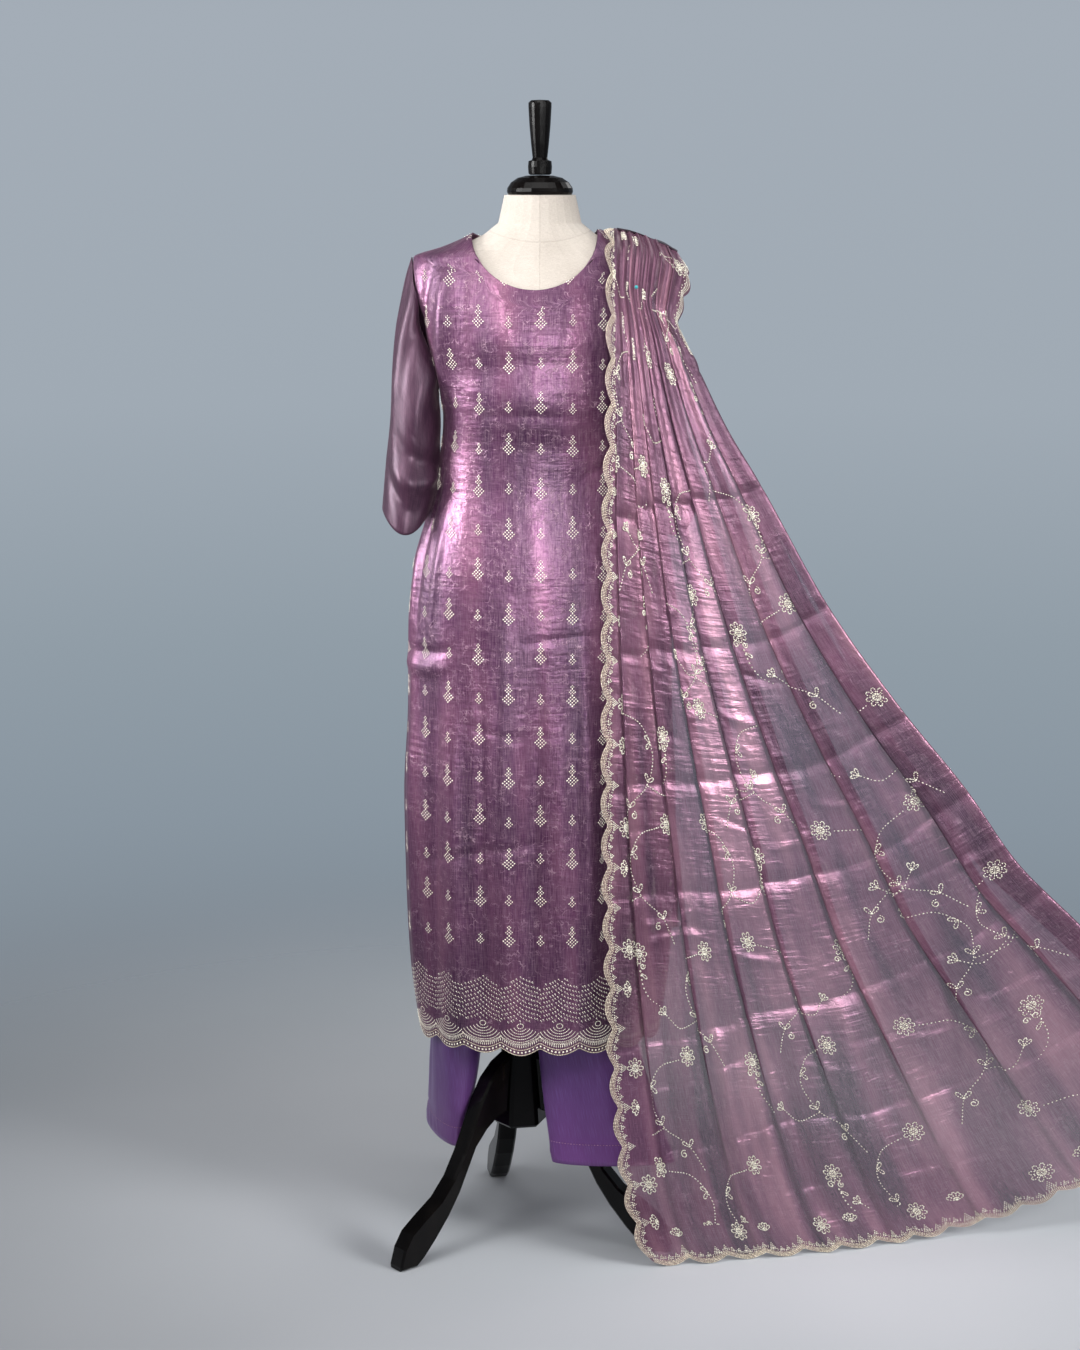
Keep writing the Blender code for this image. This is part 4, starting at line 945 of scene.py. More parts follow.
def veil_front():
    """The front stretch: knife pleats at the shoulder that open into the fan."""
    shoulder = path([LEFT_EDGE[0], SHOULDER_MIDDLE, RIGHT_EDGE[0]])
    surface = patch(path(LEFT_EDGE), path(RIGHT_EDGE), shoulder, path(END_EDGE))
    rows = np.linspace(0, 1, VEIL_ROWS)
    grid, outward = pleated(surface, rows, VEIL_PLEAT_COLUMNS, veil_tightness)
    u = np.broadcast_to(np.linspace(0, VEIL_WIDTH, grid.shape[1]), grid.shape[:2]).copy()
    v = np.broadcast_to(rows[:, None] * VEIL_FRONT_LENGTH, u.shape).copy()
    ripple = np.sin(2 * math.pi * GATHERS * u) * np.exp(-(v / GATHER_REACH) ** 2) * GATHER_HEIGHT
    height = ripple + relief(u, v, VEIL_CREASES, 1.6) + pressed_lines(u, v)
    grid = grid + outward * height[..., None]
    grid = grid + shoulder_scallops(grid, u, v)
    extra = folded_under(grid, outward[:, -1], rows)
    grid = np.concatenate([grid, extra], axis=1)
    step = VEIL_WIDTH / (u.shape[1] - 1)
    beyond = VEIL_WIDTH + step * np.arange(1, extra.shape[1] + 1)
    u = np.concatenate([u, np.broadcast_to(beyond, extra.shape[:2])], axis=1)
    v = np.concatenate([v, np.repeat(v[:, -1:], extra.shape[1], axis=1)], axis=1)
    # the near edge's scalloped margin, then the end's
    away = unit(surface(np.zeros(len(rows)), rows) - surface(np.full(len(rows), 0.05), rows))
    reach = scallops(arc_lengths(grid[:, 0][None])[0])[:, None]
    margin = [grid[:, 0] + away * reach * share for share in (1.0, 0.5)]
    grid = np.concatenate([np.stack(margin, axis=1), grid], axis=1)
    u = np.concatenate([-reach, -reach / 2, u], axis=1)
    v = np.concatenate([v[:, :1], v[:, :1], v], axis=1)
    end_lengths = arc_lengths(grid[-1:])[0]
    grid, u, v = with_scalloped_end(grid, u, v, end_lengths, unit(grid[-1] - grid[-4]))
    return Cloth(grid, -grid_normals(grid), u, v)


def veil_back():
    """The fall behind the shoulder: the cloth runs to and fro in layers, one on the other."""
    shoulder = path([BACK_LEFT_EDGE[0], SHOULDER_MIDDLE, BACK_RIGHT_EDGE[0]])
    end = path([BACK_LEFT_EDGE[-1], BACK_END_MIDDLE, BACK_RIGHT_EDGE[-1]])
    surface = patch(path(BACK_LEFT_EDGE), path(BACK_RIGHT_EDGE), shoulder, end)
    rows = np.linspace(0, 1, VEIL_BACK_ROWS)[:, None]
    cloth_across, heights, places = [], [], []
    for layer in range(BACK_LAYERS):
        share = np.linspace(0, 1, BACK_LAYER_COLUMNS)
        stagger = 0.035 * np.sin(2.1 * layer + 2.6 * rows) + 0.03 * math.sin(1.7 * layer)
        start, stop = 0.05 + stagger, 0.95 - 0.6 * stagger
        along = start + (stop - start) * (share if layer % 2 == 0 else 1 - share)
        gap = BACK_LAYER_GAP * (0.55 + 0.45 * rows)
        turn = 0.5 - 0.5 * np.cos(math.pi * np.clip((share - 0.86) / 0.14, 0, 1))
        bow = BACK_LAYER_BOW * np.sin(2 * math.pi * (1.5 * along + 0.13 * layer)) * np.sin(math.pi * share)
        places.append(along)
        heights.append(gap * (layer + turn) + bow - BACK_LAYERS_INSET)
        cloth_across.append((layer + share) / BACK_LAYERS * VEIL_WIDTH)
    across, height = np.concatenate(places, axis=1), np.concatenate(heights, axis=1)
    down = np.broadcast_to(rows, across.shape)
    outward = patch_outward(surface, across, down, -1, (0.0, 1.0, 0.0), 0.01)
    u = np.broadcast_to(np.concatenate(cloth_across), across.shape).copy()
    v = down * VEIL_BACK_LENGTH
    grid = surface(across, down) + outward * height[..., None]
    grid = grid + outward * pressed_lines(u, v)[..., None]
    grid, u, v = with_scalloped_end(grid, u, v, u[-1], np.array((0.0, 0.0, -1.0)))
    return Cloth(grid, grid_normals(grid), u, v)


# Pressed lines across the whole width, where the dupatta lay folded in its packet. One row a
# line: its height on the cloth at the near edge, in the middle and at the far edge.
# The near pleats hold a pressed line less than the far ones, by this share.
PRESSED_NEAR = 0.65
Pressed = namedtuple("Pressed", "near middle far width height")
VEIL_PRESSED = [
    Pressed(0.455, 0.400, 0.377, 0.0075, -0.0042),
    Pressed(0.640, 0.602, 0.572, 0.0070, -0.0034),
    Pressed(0.826, 0.790, 0.768, 0.0080, -0.0046),
    Pressed(0.978, 0.952, 0.915, 0.0080, -0.0046),
    Pressed(1.205, 1.140, 1.100, 0.0085, -0.0050),
    Pressed(1.374, 1.316, 1.330, 0.0080, -0.0044),
    Pressed(0.235, 0.205, 0.190, 0.0060, -0.0022),
]
VEIL_CREASES = [
    # the leaf-shaped pucker by the near edge
    Crease(0.170, 1.000, -10, 0.170, 0.012, 0.0060, 0.0046),
    Crease(0.180, 1.040, -4, 0.170, -0.012, 0.0060, 0.0042),
    Crease(0.178, 1.020, -7, 0.150, 0.000, 0.0140, -0.0040),
    # short wrinkles, uneven along the pleats
    Crease(0.060, 0.700, 8, 0.070, 0.002, 0.0040, 0.0016),
    Crease(0.075, 0.880, -6, 0.080, 0.002, 0.0040, -0.0018),
    Crease(0.210, 0.640, 12, 0.080, 0.003, 0.0045, 0.0020),
    Crease(0.235, 0.735, 4, 0.075, 0.002, 0.0040, -0.0018),
    Crease(0.330, 0.560, -14, 0.090, 0.004, 0.0050, 0.0022),
    Crease(0.345, 0.705, -8, 0.080, 0.003, 0.0045, 0.0020),
    Crease(0.420, 0.860, 14, 0.110, 0.004, 0.0050, -0.0022),
    Crease(0.520, 0.700, 10, 0.100, 0.004, 0.0050, 0.0022),
    Crease(0.560, 0.890, -8, 0.120, 0.003, 0.0050, 0.0020),
    Crease(0.640, 0.640, 16, 0.100, 0.004, 0.0050, -0.0022),
    Crease(0.700, 0.850, 12, 0.120, 0.004, 0.0055, 0.0024),
    Crease(0.760, 0.980, 8, 0.140, 0.004, 0.0055, -0.0024),
    Crease(0.860, 0.860, 14, 0.120, 0.004, 0.0055, 0.0024),
    Crease(0.880, 1.000, 4, 0.130, 0.004, 0.0060, 0.0022),
    Crease(0.120, 1.260, -6, 0.120, 0.004, 0.0055, 0.0024),
    Crease(0.260, 1.220, -12, 0.140, 0.004, 0.0055, -0.0022),
    Crease(0.380, 1.060, 10, 0.140, 0.004, 0.0055, 0.0024),
    Crease(0.470, 1.240, 6, 0.150, 0.004, 0.0060, 0.0022),
    Crease(0.600, 1.200, -4, 0.150, 0.005, 0.0060, -0.0022),
    Crease(0.700, 1.230, 8, 0.160, 0.004, 0.0060, 0.0024),
    Crease(0.810, 1.200, 10, 0.150, 0.004, 0.0060, -0.0024),
    Crease(0.900, 1.240, 4, 0.130, 0.004, 0.0060, 0.0022),
    Crease(0.150, 1.440, 4, 0.160, 0.004, 0.0060, 0.0022),
    Crease(0.360, 1.420, -6, 0.170, 0.004, 0.0060, -0.0022),
    Crease(0.560, 1.430, 5, 0.180, 0.004, 0.0060, 0.0022),
    Crease(0.760, 1.420, -4, 0.160, 0.004, 0.0060, 0.0022),
    # diagonal swags of the fan between the far silhouette and the floor
    Crease(0.820, 1.080, 118, 0.420, 0.020, 0.0260, 0.0080),
    Crease(0.700, 1.240, 114, 0.380, 0.016, 0.0240, -0.0070),
    Crease(0.520, 1.300, 100, 0.340, 0.014, 0.0240, 0.0070),
    Crease(0.380, 1.330, 96, 0.320, 0.010, 0.0220, -0.0060),
    Crease(0.240, 1.330, 92, 0.320, 0.008, 0.0200, 0.0060),
    Crease(0.110, 1.300, 90, 0.360, 0.006, 0.0180, -0.0050),
]


def pressed_lines(u, v):
    """Relief of the pressed fold lines, which cross the cloth from edge to edge."""
    height = np.zeros_like(u)
    share = np.clip(u / VEIL_WIDTH, 0, 1)
    for row in VEIL_PRESSED:
        bend = row.middle - (row.near + row.far) / 2
        line = row.near + (row.far - row.near) * share + 4 * bend * share * (1 - share)
        line = line + 0.003 * np.sin(17 * share + 40 * row.near) + 0.0016 * np.sin(47 * share)
        softened = row.height * (PRESSED_NEAR + (1 - PRESSED_NEAR) * share)
        height += softened * np.exp(-np.abs((v - line) / row.width) ** 1.1)
    return height


def dupatta():
    """Both stretches, which stand for the CAD stretches and their border strips."""
    front, back = veil_front(), veil_back()
    made = cloth_mesh("dupatta_front_cloth", front, VEIL, outward=-1)
    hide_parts("dupatta_front", "dupatta_edging_side", "dupatta_edging_end")
    made = cloth_mesh("dupatta_back_cloth", back, VEIL, outward=1)
    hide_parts("dupatta_back")
    return front, back


# ---------------- beads on a cloth
# A bead is a row of an array: u, v, length, width and heading on the cloth. It is left out
# where the cloth doesn't reach its place.
BEAD_LIFT = 0.0007
BEAD_DEPTH = 0.0004
BEAD_MISS = 0.0012
BEAD_FACES = np.array([(0, 1, 4), (1, 2, 4), (2, 3, 4), (3, 0, 4),
                       (1, 0, 5), (2, 1, 5), (3, 2, 5), (0, 3, 5)])


def beads(u, v, length, width, heading=0.0):
    """Rows of beads, where any value may be one for all."""
    values = np.broadcast_arrays(u, v, length, width, heading)
    return np.stack([np.ravel(value) for value in values], axis=1)


def sample(table, i, j):
    """Value of a grid between its rows and columns."""
    i = np.clip(i, 0, table.shape[0] - 1.001)
    j = np.clip(j, 0, table.shape[1] - 1.001)
    row, col = i.astype(int), j.astype(int)
    di, dj = i - row, j - col
    if table.ndim == 3:
        di, dj = di[:, None], dj[:, None]
    upper = table[row, col] * (1 - dj) + table[row, col + 1] * dj
    lower = table[row + 1, col] * (1 - dj) + table[row + 1, col + 1] * dj
    return upper * (1 - di) + lower * di


def locate(cloth, u, v):
    """Row and column of places given in the cloth's own metres, and which are on the cloth."""
    rows, cols = cloth.u.shape
    u_step, v_step = np.gradient(cloth.u, axis=1), np.gradient(cloth.v, axis=0)
    i = np.interp(v, cloth.v[:, cols // 2], np.arange(rows))
    j = np.interp(u, cloth.u[rows // 2], np.arange(cols))
    for _ in range(12):
        j = j + np.clip((u - sample(cloth.u, i, j)) / sample(u_step, i, j), -6, 6)
        i = i + np.clip((v - sample(cloth.v, i, j)) / sample(v_step, i, j), -6, 6)
        i, j = np.clip(i, 0, rows - 1), np.clip(j, 0, cols - 1)
    off = np.hypot(u - sample(cloth.u, i, j), v - sample(cloth.v, i, j))
    return i, j, off < BEAD_MISS


def sew(name, cloth, rows, finish, lift=BEAD_LIFT, depth=BEAD_DEPTH):
    """One joined mesh of beads, each a small flat octahedron that lies on the cloth."""
    i, j, inside = locate(cloth, rows[:, 0], rows[:, 1])
    rows, i, j = rows[inside], i[inside], j[inside]
    point = sample(cloth.points, i, j)
    out = unit(sample(cloth.normals, i, j))
    ways = [sample(np.gradient(cloth.points, axis=axis), i, j) for axis in (1, 0)]
    along, upward = [unit(way - out * np.sum(way * out, axis=1, keepdims=True)) for way in ways]
    cos, sin = np.cos(rows[:, 4])[:, None], np.sin(rows[:, 4])[:, None]
    long_axis = (cos * along + sin * upward) * rows[:, 2, None] / 2
    wide_axis = (cos * upward - sin * along) * rows[:, 3, None] / 2
    middle = point + lift * out
    corners = np.stack([middle + long_axis, middle + wide_axis, middle - long_axis, middle - wide_axis,
                        middle + depth * out, middle - 0.4 * depth * out], axis=1)
    faces = BEAD_FACES[None] + 6 * np.arange(len(rows))[:, None, None]
    mesh = fill_mesh(name, corners.reshape(-1, 3), faces.reshape(-1, 3))
    return add_object(name, mesh, finish)


# ---------------- motifs
Diamond = namedtuple("Diamond", "rise count pitch size")
LARGE_MOTIF = [Diamond(0.0, 4, 0.0034, 0.0026), Diamond(0.0122, 3, 0.0028, 0.0022),
               Diamond(0.0192, 2, 0.0026, 0.0021)]
SMALL_MOTIF = [Diamond(0.0, 3, 0.0030, 0.0023), Diamond(0.0076, 2, 0.0026, 0.0020)]
# Length and width of the beads in loops, petals, centres, curls and stems, and the first and
# last size of the round beads in a tail.
LOOP_BEAD = (0.0031, 0.0021)
PETAL_BEAD = (0.0032, 0.0022)
CENTRE_BEAD = (0.0024, 0.0022)
CURL_BEAD = (0.0029, 0.0021)
LONG_BEAD = (0.0040, 0.0021)
ROUND_BEAD = (0.0023, 0.0022)
TAIL_BEADS = (0.0038, 0.0018)
FLOWER_RADIUS = 0.0150


def diamond(u, v, count, pitch, size):
    """Lattice of beads stood on its corner."""
    k = (np.arange(count) - (count - 1) / 2) * pitch / math.sqrt(2)
    a, b = np.meshgrid(k, k)
    return beads(u + a - b, v + a + b, size, size * 0.86, math.pi / 4)


def motif(u, v, large):
    """A beaded diamond with smaller ones stacked on it."""
    stack = LARGE_MOTIF if large else SMALL_MOTIF
    return np.concatenate([diamond(u, v + row.rise, row.count, row.pitch, row.size) for row in stack])


def curve(points, pitch):
    """Evenly spaced places and headings along a smooth line through points in (u, v)."""
    points = np.array(points, float)
    chord = np.concatenate([[0], np.cumsum(np.linalg.norm(np.diff(points, axis=0), axis=1))])
    fine = np.linspace(0, chord[-1], 40 * len(points))
    line = np.stack([smooth_curve(chord, points[:, axis])(fine) for axis in range(2)], axis=1)
    lengths = np.concatenate([[0], np.cumsum(np.linalg.norm(np.diff(line, axis=0), axis=1))])
    stations = np.arange(pitch / 2, lengths[-1], pitch)
    u, v = (np.interp(stations, lengths, line[:, axis]) for axis in range(2))
    return u, v, np.arctan2(np.gradient(v), np.gradient(u))


def loop(u, v, way, length, width, count=11, size=LOOP_BEAD):
    """Teardrop of beads that starts at a place and runs out along a heading."""
    turns = np.arange(count) * 2 * math.pi / count
    along = length * (0.5 - 0.5 * np.cos(turns))
    aside = width / 2 * np.sin(turns) * (0.35 + 0.65 * along / length)
    heading = np.arctan2(np.gradient(aside), np.gradient(along))
    c, s = math.cos(way), math.sin(way)
    return beads(u + along * c - aside * s, v + along * s + aside * c, *size, heading + way)


def flower(u, v, radius, turn, petals=8):
    """Petal loops round a dense centre."""
    rows = []
    start, ring = 0.28 * radius, 0.2 * radius
    for petal in range(petals):
        way = turn + 2 * math.pi * petal / petals
        rows.append(loop(u + start * math.cos(way), v + start * math.sin(way), way,
                         0.72 * radius, 0.50 * radius, 9, PETAL_BEAD))
    spin = turn + np.arange(6) * math.pi / 3
    rows.append(beads(u + ring * np.cos(spin), v + ring * np.sin(spin), *CENTRE_BEAD, spin))
    rows.append(beads(u, v, 0.0030, 0.0030))
    return np.concatenate(rows)


def curl(u, v, way, size, hand, count=15):
    """Spiral of beads that winds in from a place."""
    share = np.arange(count) / (count - 1)
    angle = way + hand * share * 2 * math.pi * 1.15
    radius = size * (1 - 0.72 * share)
    centre_u, centre_v = u + size * math.cos(way + math.pi), v + size * math.sin(way + math.pi)
    return beads(centre_u + radius * np.cos(angle), centre_v + radius * np.sin(angle), *CURL_BEAD,
                 angle + math.pi / 2)


def leaves(u, v, way, length=0.013):
    """Pair of leaf loops either side of a stem."""
    return np.concatenate([loop(u, v, way + side, length, length * 0.52) for side in (0.75, -0.75)])


def stem(points, pitch=0.0052):
    """Dotted line: a long bead, then a small round one."""
    u, v, heading = curve(points, pitch)
    small = np.arange(len(u)) % 2 == 1
    sizes = [np.where(small, *pair) for pair in zip(ROUND_BEAD, LONG_BEAD)]
    return beads(u, v, *sizes, heading)


def dots_tail(points, count=11):
    """Round beads that shrink along a line."""
    u, v, heading = curve(points, 0.0001)
    places = np.linspace(0, len(u) - 1, count).astype(int)
    size = np.linspace(*TAIL_BEADS, count)
    return beads(u[places], v[places], size, size, heading[places])


def sprig(u, v, hand, turn):
    """A flower with two curls and a hooked tail of shrinking beads."""
    down = -math.pi / 2
    return np.concatenate([
        flower(u, v, FLOWER_RADIUS, turn),
        curl(u - 0.004 * hand, v - 0.0165, 0.1 * hand, 0.0058, hand),
        curl(u + 0.010 * hand, v - 0.0175, 0.2 * hand, 0.0050, -hand),
        dots_tail([(u, v - 0.026), (u + 0.002 * hand, v - 0.046), (u + 0.012 * hand, v - 0.066),
                   (u + 0.030 * hand, v - 0.078)]),
        loop(u + 0.002 * hand, v - 0.030, down + 0.9 * hand, 0.011, 0.0058),
    ])


def vine(u, v, hand, turn):
    """A swinging stem with leaf pairs, a flower at its head and a bud on its side branch."""
    line = [(u, v - 0.150), (u + 0.022 * hand, v - 0.110), (u + 0.060 * hand, v - 0.080),
            (u + 0.078 * hand, v - 0.035), (u + 0.052 * hand, v + 0.010), (u + 0.010 * hand, v + 0.022)]
    branch = [(u + 0.060 * hand, v - 0.080), (u + 0.100 * hand, v - 0.092), (u + 0.128 * hand, v - 0.070)]
    rows = [stem(line), stem(branch), flower(u - 0.006 * hand, v + 0.026, FLOWER_RADIUS, turn)]
    places = curve(line, 0.002)
    for share, lean in ((0.18, 0.4), (0.42, 0.2), (0.68, 1.2)):
        k = int(share * len(places[0]))
        rows.append(leaves(places[0][k], places[1][k], places[2][k] + lean * hand))
    bud_way = 0.9 if hand > 0 else 2.24
    for swing in (-0.7, 0.0, 0.7):
        rows.append(loop(*branch[-1], bud_way + swing, 0.012, 0.0056))
    rows.append(curl(u + 0.030 * hand, v - 0.118, 1.2, 0.0060, -hand))
    return np.concatenate(rows)


VINE_ACROSS = 0.162
VINE_DOWN = 0.168
VINE_SHIFT = 0.014


def vine_field(width, length, top, seed):
    """Sprays set out in a loose brick pattern over the cloth, each a little off its place."""
    rng = np.random.default_rng(seed)
    rows = []
    for line, v in enumerate(np.arange(top, length - 0.05, VINE_DOWN)):
        first = 0.075 + VINE_ACROSS / 2 * (line % 2)
        for number, u in enumerate(np.arange(first, width - 0.03, VINE_ACROSS)):
            shift_u, shift_v, turn = rng.uniform(-VINE_SHIFT, VINE_SHIFT, 3) * (1, 1, 30)
            hand = 1 if (line + number) % 2 == 0 else -1
            # v grows downwards on the dupatta, so a spray is drawn in -v and turned over
            maker = vine if (line + 2 * number) % 3 else sprig
            spray = maker(0.0, 0.0, hand, turn)
            spray[:, 1] *= -1
            spray[:, 4] *= -1
            spray[:, 0] += u + shift_u
            spray[:, 1] += v + shift_v
            rows.append(spray)
    field = np.concatenate(rows)
    return field[(field[:, 0] > 0.016) & (field[:, 0] < width - 0.004) & (field[:, 1] < length - 0.016)]


# ---------------- stitched hems
CUFF_STITCH = 0.0035
STITCH_PITCH = 0.0042
STITCH = (0.0032, 0.0011)
STITCH_DEPTH = 0.0003


def stitched_line(name, cloth, above):
    """Running stitches round a tube, a set height above its lower edge."""
    row = int(np.argmin(cloth.v[:, 0]))
    u = np.arange(cloth.u.min() + STITCH_PITCH, cloth.u.max() - STITCH_PITCH, STITCH_PITCH)
    v = np.interp(u, *zip(*sorted(zip(cloth.u[row], cloth.v[row])))) + above
    sew(name, cloth, beads(u, v, *STITCH), THREAD, STITCH_DEPTH, STITCH_DEPTH)


# ---------------- embroidery on the kameez
MOTIF_ACROSS = 0.0430
MOTIF_DOWN = 0.0562
MOTIF_TOP_Z = 1.312
FIELD_BOTTOM_Z = 0.428


def lattice():
    """Large and small motifs by turns, in lengthways columns."""
    rows = []
    for line in range(-2, 40):
        z = MOTIF_TOP_Z - line * MOTIF_DOWN
        if z < FIELD_BOTTOM_Z:
            break
        for column in range(-7, 8):
            wander = 0.0022 * math.sin(2.3 * column + 1.1 * line)
            rows.append(motif(column * MOTIF_ACROSS + 0.001, z + wander, (line + column) % 2 == 0))
    return np.concatenate(rows)


# One row a line of beads that follows the hem's scalloped edge, above it by its rise.
HemRow = namedtuple("HemRow", "rise pitch length width upright")
HEM_RIM = [HemRow(0.0012, 0.0022, 0.0026, 0.0018, False), HemRow(0.0088, 0.0022, 0.0026, 0.0016, False)]
HEM_DOTS = HemRow(0.0050, 0.0052, 0.0034, 0.0034, False)
HEM_BARS = HemRow(0.0135, 0.0030, 0.0052, 0.0012, True)
HEM_DASHES = HemRow(0.0178, 0.0024, 0.0024, 0.0013, False)
# A fan's centre above the hem, its rings' first radius and step, how far the net stays off its
# centre, its opening to each side in radians, its stretch and its beads.
FAN_RISE = 0.0435
FAN_RINGS = 7
FAN_FIRST = 0.0040
FAN_STEP = 0.0046
FAN_REACH = 0.0345
FAN_OPENING = 1.15
FAN_WIDE = 1.06
FAN_HIGH = 0.86
FAN_PITCH = 0.0025
FAN_BEAD = (0.0026, 0.0014)
# The net's pitch across and up, the height and waves of its top, and the sizes of its beads.
NET_PITCH = (0.0041, 0.0063)
NET_BEAD = (0.0021, 0.0018)
NET_SMALL_BEAD = (0.0014, 0.0010)
NET_TOP_Z = 0.4115
NET_WAVE = 0.0085


def hem_row(row, edge, half, turn=0.0):
    """One line of beads along the scalloped edge, upright or in line with it."""
    u = np.arange(-half + 0.001, half - 0.001, row.pitch)
    slope = np.arctan2(edge(u + 0.001) - edge(u - 0.001), 0.002)
    heading = math.pi / 2 if row.upright else turn + slope
    return beads(u, edge(u) + row.rise, row.length, row.width, heading)


def hem_fan(centre, base, period):
    """Rings of beads that open downwards over one scallop."""
    rings = []
    for ring in range(FAN_RINGS):
        radius = FAN_FIRST + FAN_STEP * ring
        inside_period = math.asin(min(1.0, 0.5 * period / radius)) * 0.96
        reach = min(inside_period, FAN_OPENING) if ring else math.pi
        angle = np.arange(-reach, reach, FAN_PITCH / radius) - math.pi / 2
        drop = base + FAN_RISE - radius * FAN_HIGH * np.sin(angle + math.pi)
        place = centre + radius * np.cos(angle) * FAN_WIDE
        rings.append(beads(place, drop, *FAN_BEAD, angle + math.pi / 2))
    return rings


def hem_net(edge, half, period, centres):
    """Columns of paired beads that fill the band above and between the fans."""
    net = []
    for column, u in enumerate(np.arange(-half + 0.002, half, NET_PITCH[0])):
        phase = (u + half) / period % 1.0
        top = NET_TOP_Z + NET_WAVE * (1 - abs(2 * phase - 1) ** 1.3 * 2)
        centre = centres[min(len(centres) - 1, int((u + half) / period))]
        base, centre_v = edge(u), edge(centre) + FAN_RISE
        v = np.arange(base + 0.020 + 0.0032 * (column % 2), top, NET_PITCH[1])
        places = u + 0.0009 * np.sin(2.1 * np.arange(len(v)) + column)
        away = np.hypot(places - centre, v - centre_v)
        keep = (v > centre_v + 0.006) | (away > FAN_REACH)
        v, places = v[keep], places[keep]
        net.append(beads(places, v, *NET_BEAD, 0.6))
        net.append(beads(places + 0.0011, v - 0.0016, *NET_SMALL_BEAD, 0.9))
    return net


def hem_work(cloth):
    """The hem's border: dots, fans of arcs over each scallop, a netted band and a double rim."""
    half = cloth.u[0, -1]
    count = max(1, round(2 * half / SCALLOP_PERIOD))
    period = 2 * half / count
    centres = -half + (np.arange(count) + 0.5) * period

    def edge(u):
        return np.interp(u, cloth.u[0], cloth.v[0])

    gold = [hem_row(row, edge, half) for row in HEM_RIM]
    silver = [hem_row(HEM_DOTS, edge, half, math.pi / 4), hem_row(HEM_BARS, edge, half),
              hem_row(HEM_DASHES, edge, half)]
    for centre in centres:
        silver += hem_fan(centre, edge(centre), period)
    silver += hem_net(edge, half, period, centres)
    return np.concatenate(silver), np.concatenate(gold)


def kameez_embroidery(cloth, label):
    """Motifs all over the panel and the worked hem."""
    silver, gold = hem_work(cloth)
    sew(f"kameez_{label}_motifs", cloth, lattice(), SILVER_BEAD_STRONG_GLOW)
    sew(f"kameez_{label}_hem_beads", cloth, silver, SILVER_BEAD_STRONG_GLOW)
    sew(f"kameez_{label}_hem_rim", cloth, gold, GOLD_BEAD)


# ---------------- embroidery on the dupatta
BorderRow = namedtuple("BorderRow", "inset pitch across along")
BORDER_RIM = [BorderRow(0.0010, 0.0021, 0.0020, 0.0020), BorderRow(0.0032, 0.0021, 0.0024, 0.0017),
              BorderRow(0.0055, 0.0021, 0.0024, 0.0017), BorderRow(0.0076, 0.0026, 0.0018, 0.0018)]
BORDER_DOT_INSETS = (0.0102, 0.0126)
DOT_PITCH = 0.0040
DOT_WANDER = 0.0012
BORDER_DOT = (0.0022, 0.0018)
# Triangles of beads inside each scallop: place along it and rows of beads.
TRIANGLES = ((0.0, 5), (0.28, 3), (0.5, 3), (0.72, 3))
TRIANGLE_INSET = 0.0115
TRIANGLE_PITCH = (0.0028, 0.0026)
TRIANGLE_BEAD = (0.0024, 0.0021)
BORDER_FLOWER_INSET = 0.032


def border_triangle(length, reach, place, middle, rows):
    """Rows of beads that shrink inwards from the rim, at one place along the edge."""
    made = []
    base = TRIANGLE_INSET - reach(np.array([middle]))[0]
    for row in range(rows):
        wide = rows - row
        t = middle + (np.arange(wide) - (wide - 1) / 2) * TRIANGLE_PITCH[0]
        t = t[(t > 0) & (t < length)]
        u, v, way = place(t, base + TRIANGLE_PITCH[1] * row + 0 * t)
        made.append(beads(u, v, *TRIANGLE_BEAD, way))
    return made


def border_spray(number, place, middle):
    """A flower just inside every third notch, and five leaf loops inside the next one."""
    u, v, way = (values[0] for values in place(np.array([middle]), np.array([BORDER_FLOWER_INSET])))
    if number % 3 == 0:
        return [flower(u, v, 0.0145, 0.3 * number)]
    inward = way + math.pi / 2
    return [loop(u, v, inward + swing + math.pi, 0.0135, 0.0062) for swing in (-1.0, -0.5, 0.0, 0.5, 1.0)]


def border_work(length, reach, place):
    """Beaded rim on a scalloped edge, with triangles and small sprays inside it.

    reach(t) is how far the edge stands out at each place t along it, and place(t, d) gives u, v
    and the heading of the edge for a place d inside the straight line of the notches.
    """
    gold, silver = [], []
    count = max(1, round(length / SCALLOP_PERIOD))
    period = length / count
    for row in BORDER_RIM:
        t = np.arange(0.001, length - 0.001, row.pitch)
        u, v, way = place(t, row.inset - reach(t))
        gold.append(beads(u, v, row.across, row.along, way + math.pi / 2))
    t = np.arange(0.002, length, DOT_PITCH)
    wander = DOT_WANDER * np.sin(1.9 * np.arange(len(t)))
    for inset in BORDER_DOT_INSETS:
        u, v, way = place(t + 0.3 * inset, inset - reach(t) + wander)
        silver.append(beads(u, v, *BORDER_DOT, way + 0.8))
    for number in range(count):
        start = number * period
        for share, rows in TRIANGLES:
            silver += border_triangle(length, reach, place, start + share * period, rows)
        if number > 0 and number % 3 != 2:
            silver += border_spray(number, place, start + 0.02 * period)
    return np.concatenate(silver), np.concatenate(gold)


def end_border(cloth, length):
    """The border along a stretch's end; length is the stretch's own."""
    reach = cloth.v[-1] - length
    return border_work(VEIL_WIDTH, lambda t: np.interp(t, cloth.u[-1], reach),
                       lambda t, d: (t, length - d, np.zeros_like(t)))


SHOULDER_ROW_INSETS = (0.0016, 0.0044, 0.0072)
SHOULDER_DOT_INSET = 0.011
SHOULDER_STEM_PITCH = 0.0046
SHOULDER_STEMS = [[(0.640, 0.110), (0.700, 0.060), (0.790, 0.030), (0.900, 0.052)],
                  [(0.640, 0.128), (0.740, 0.126), (0.820, 0.118), (0.905, 0.135)]]


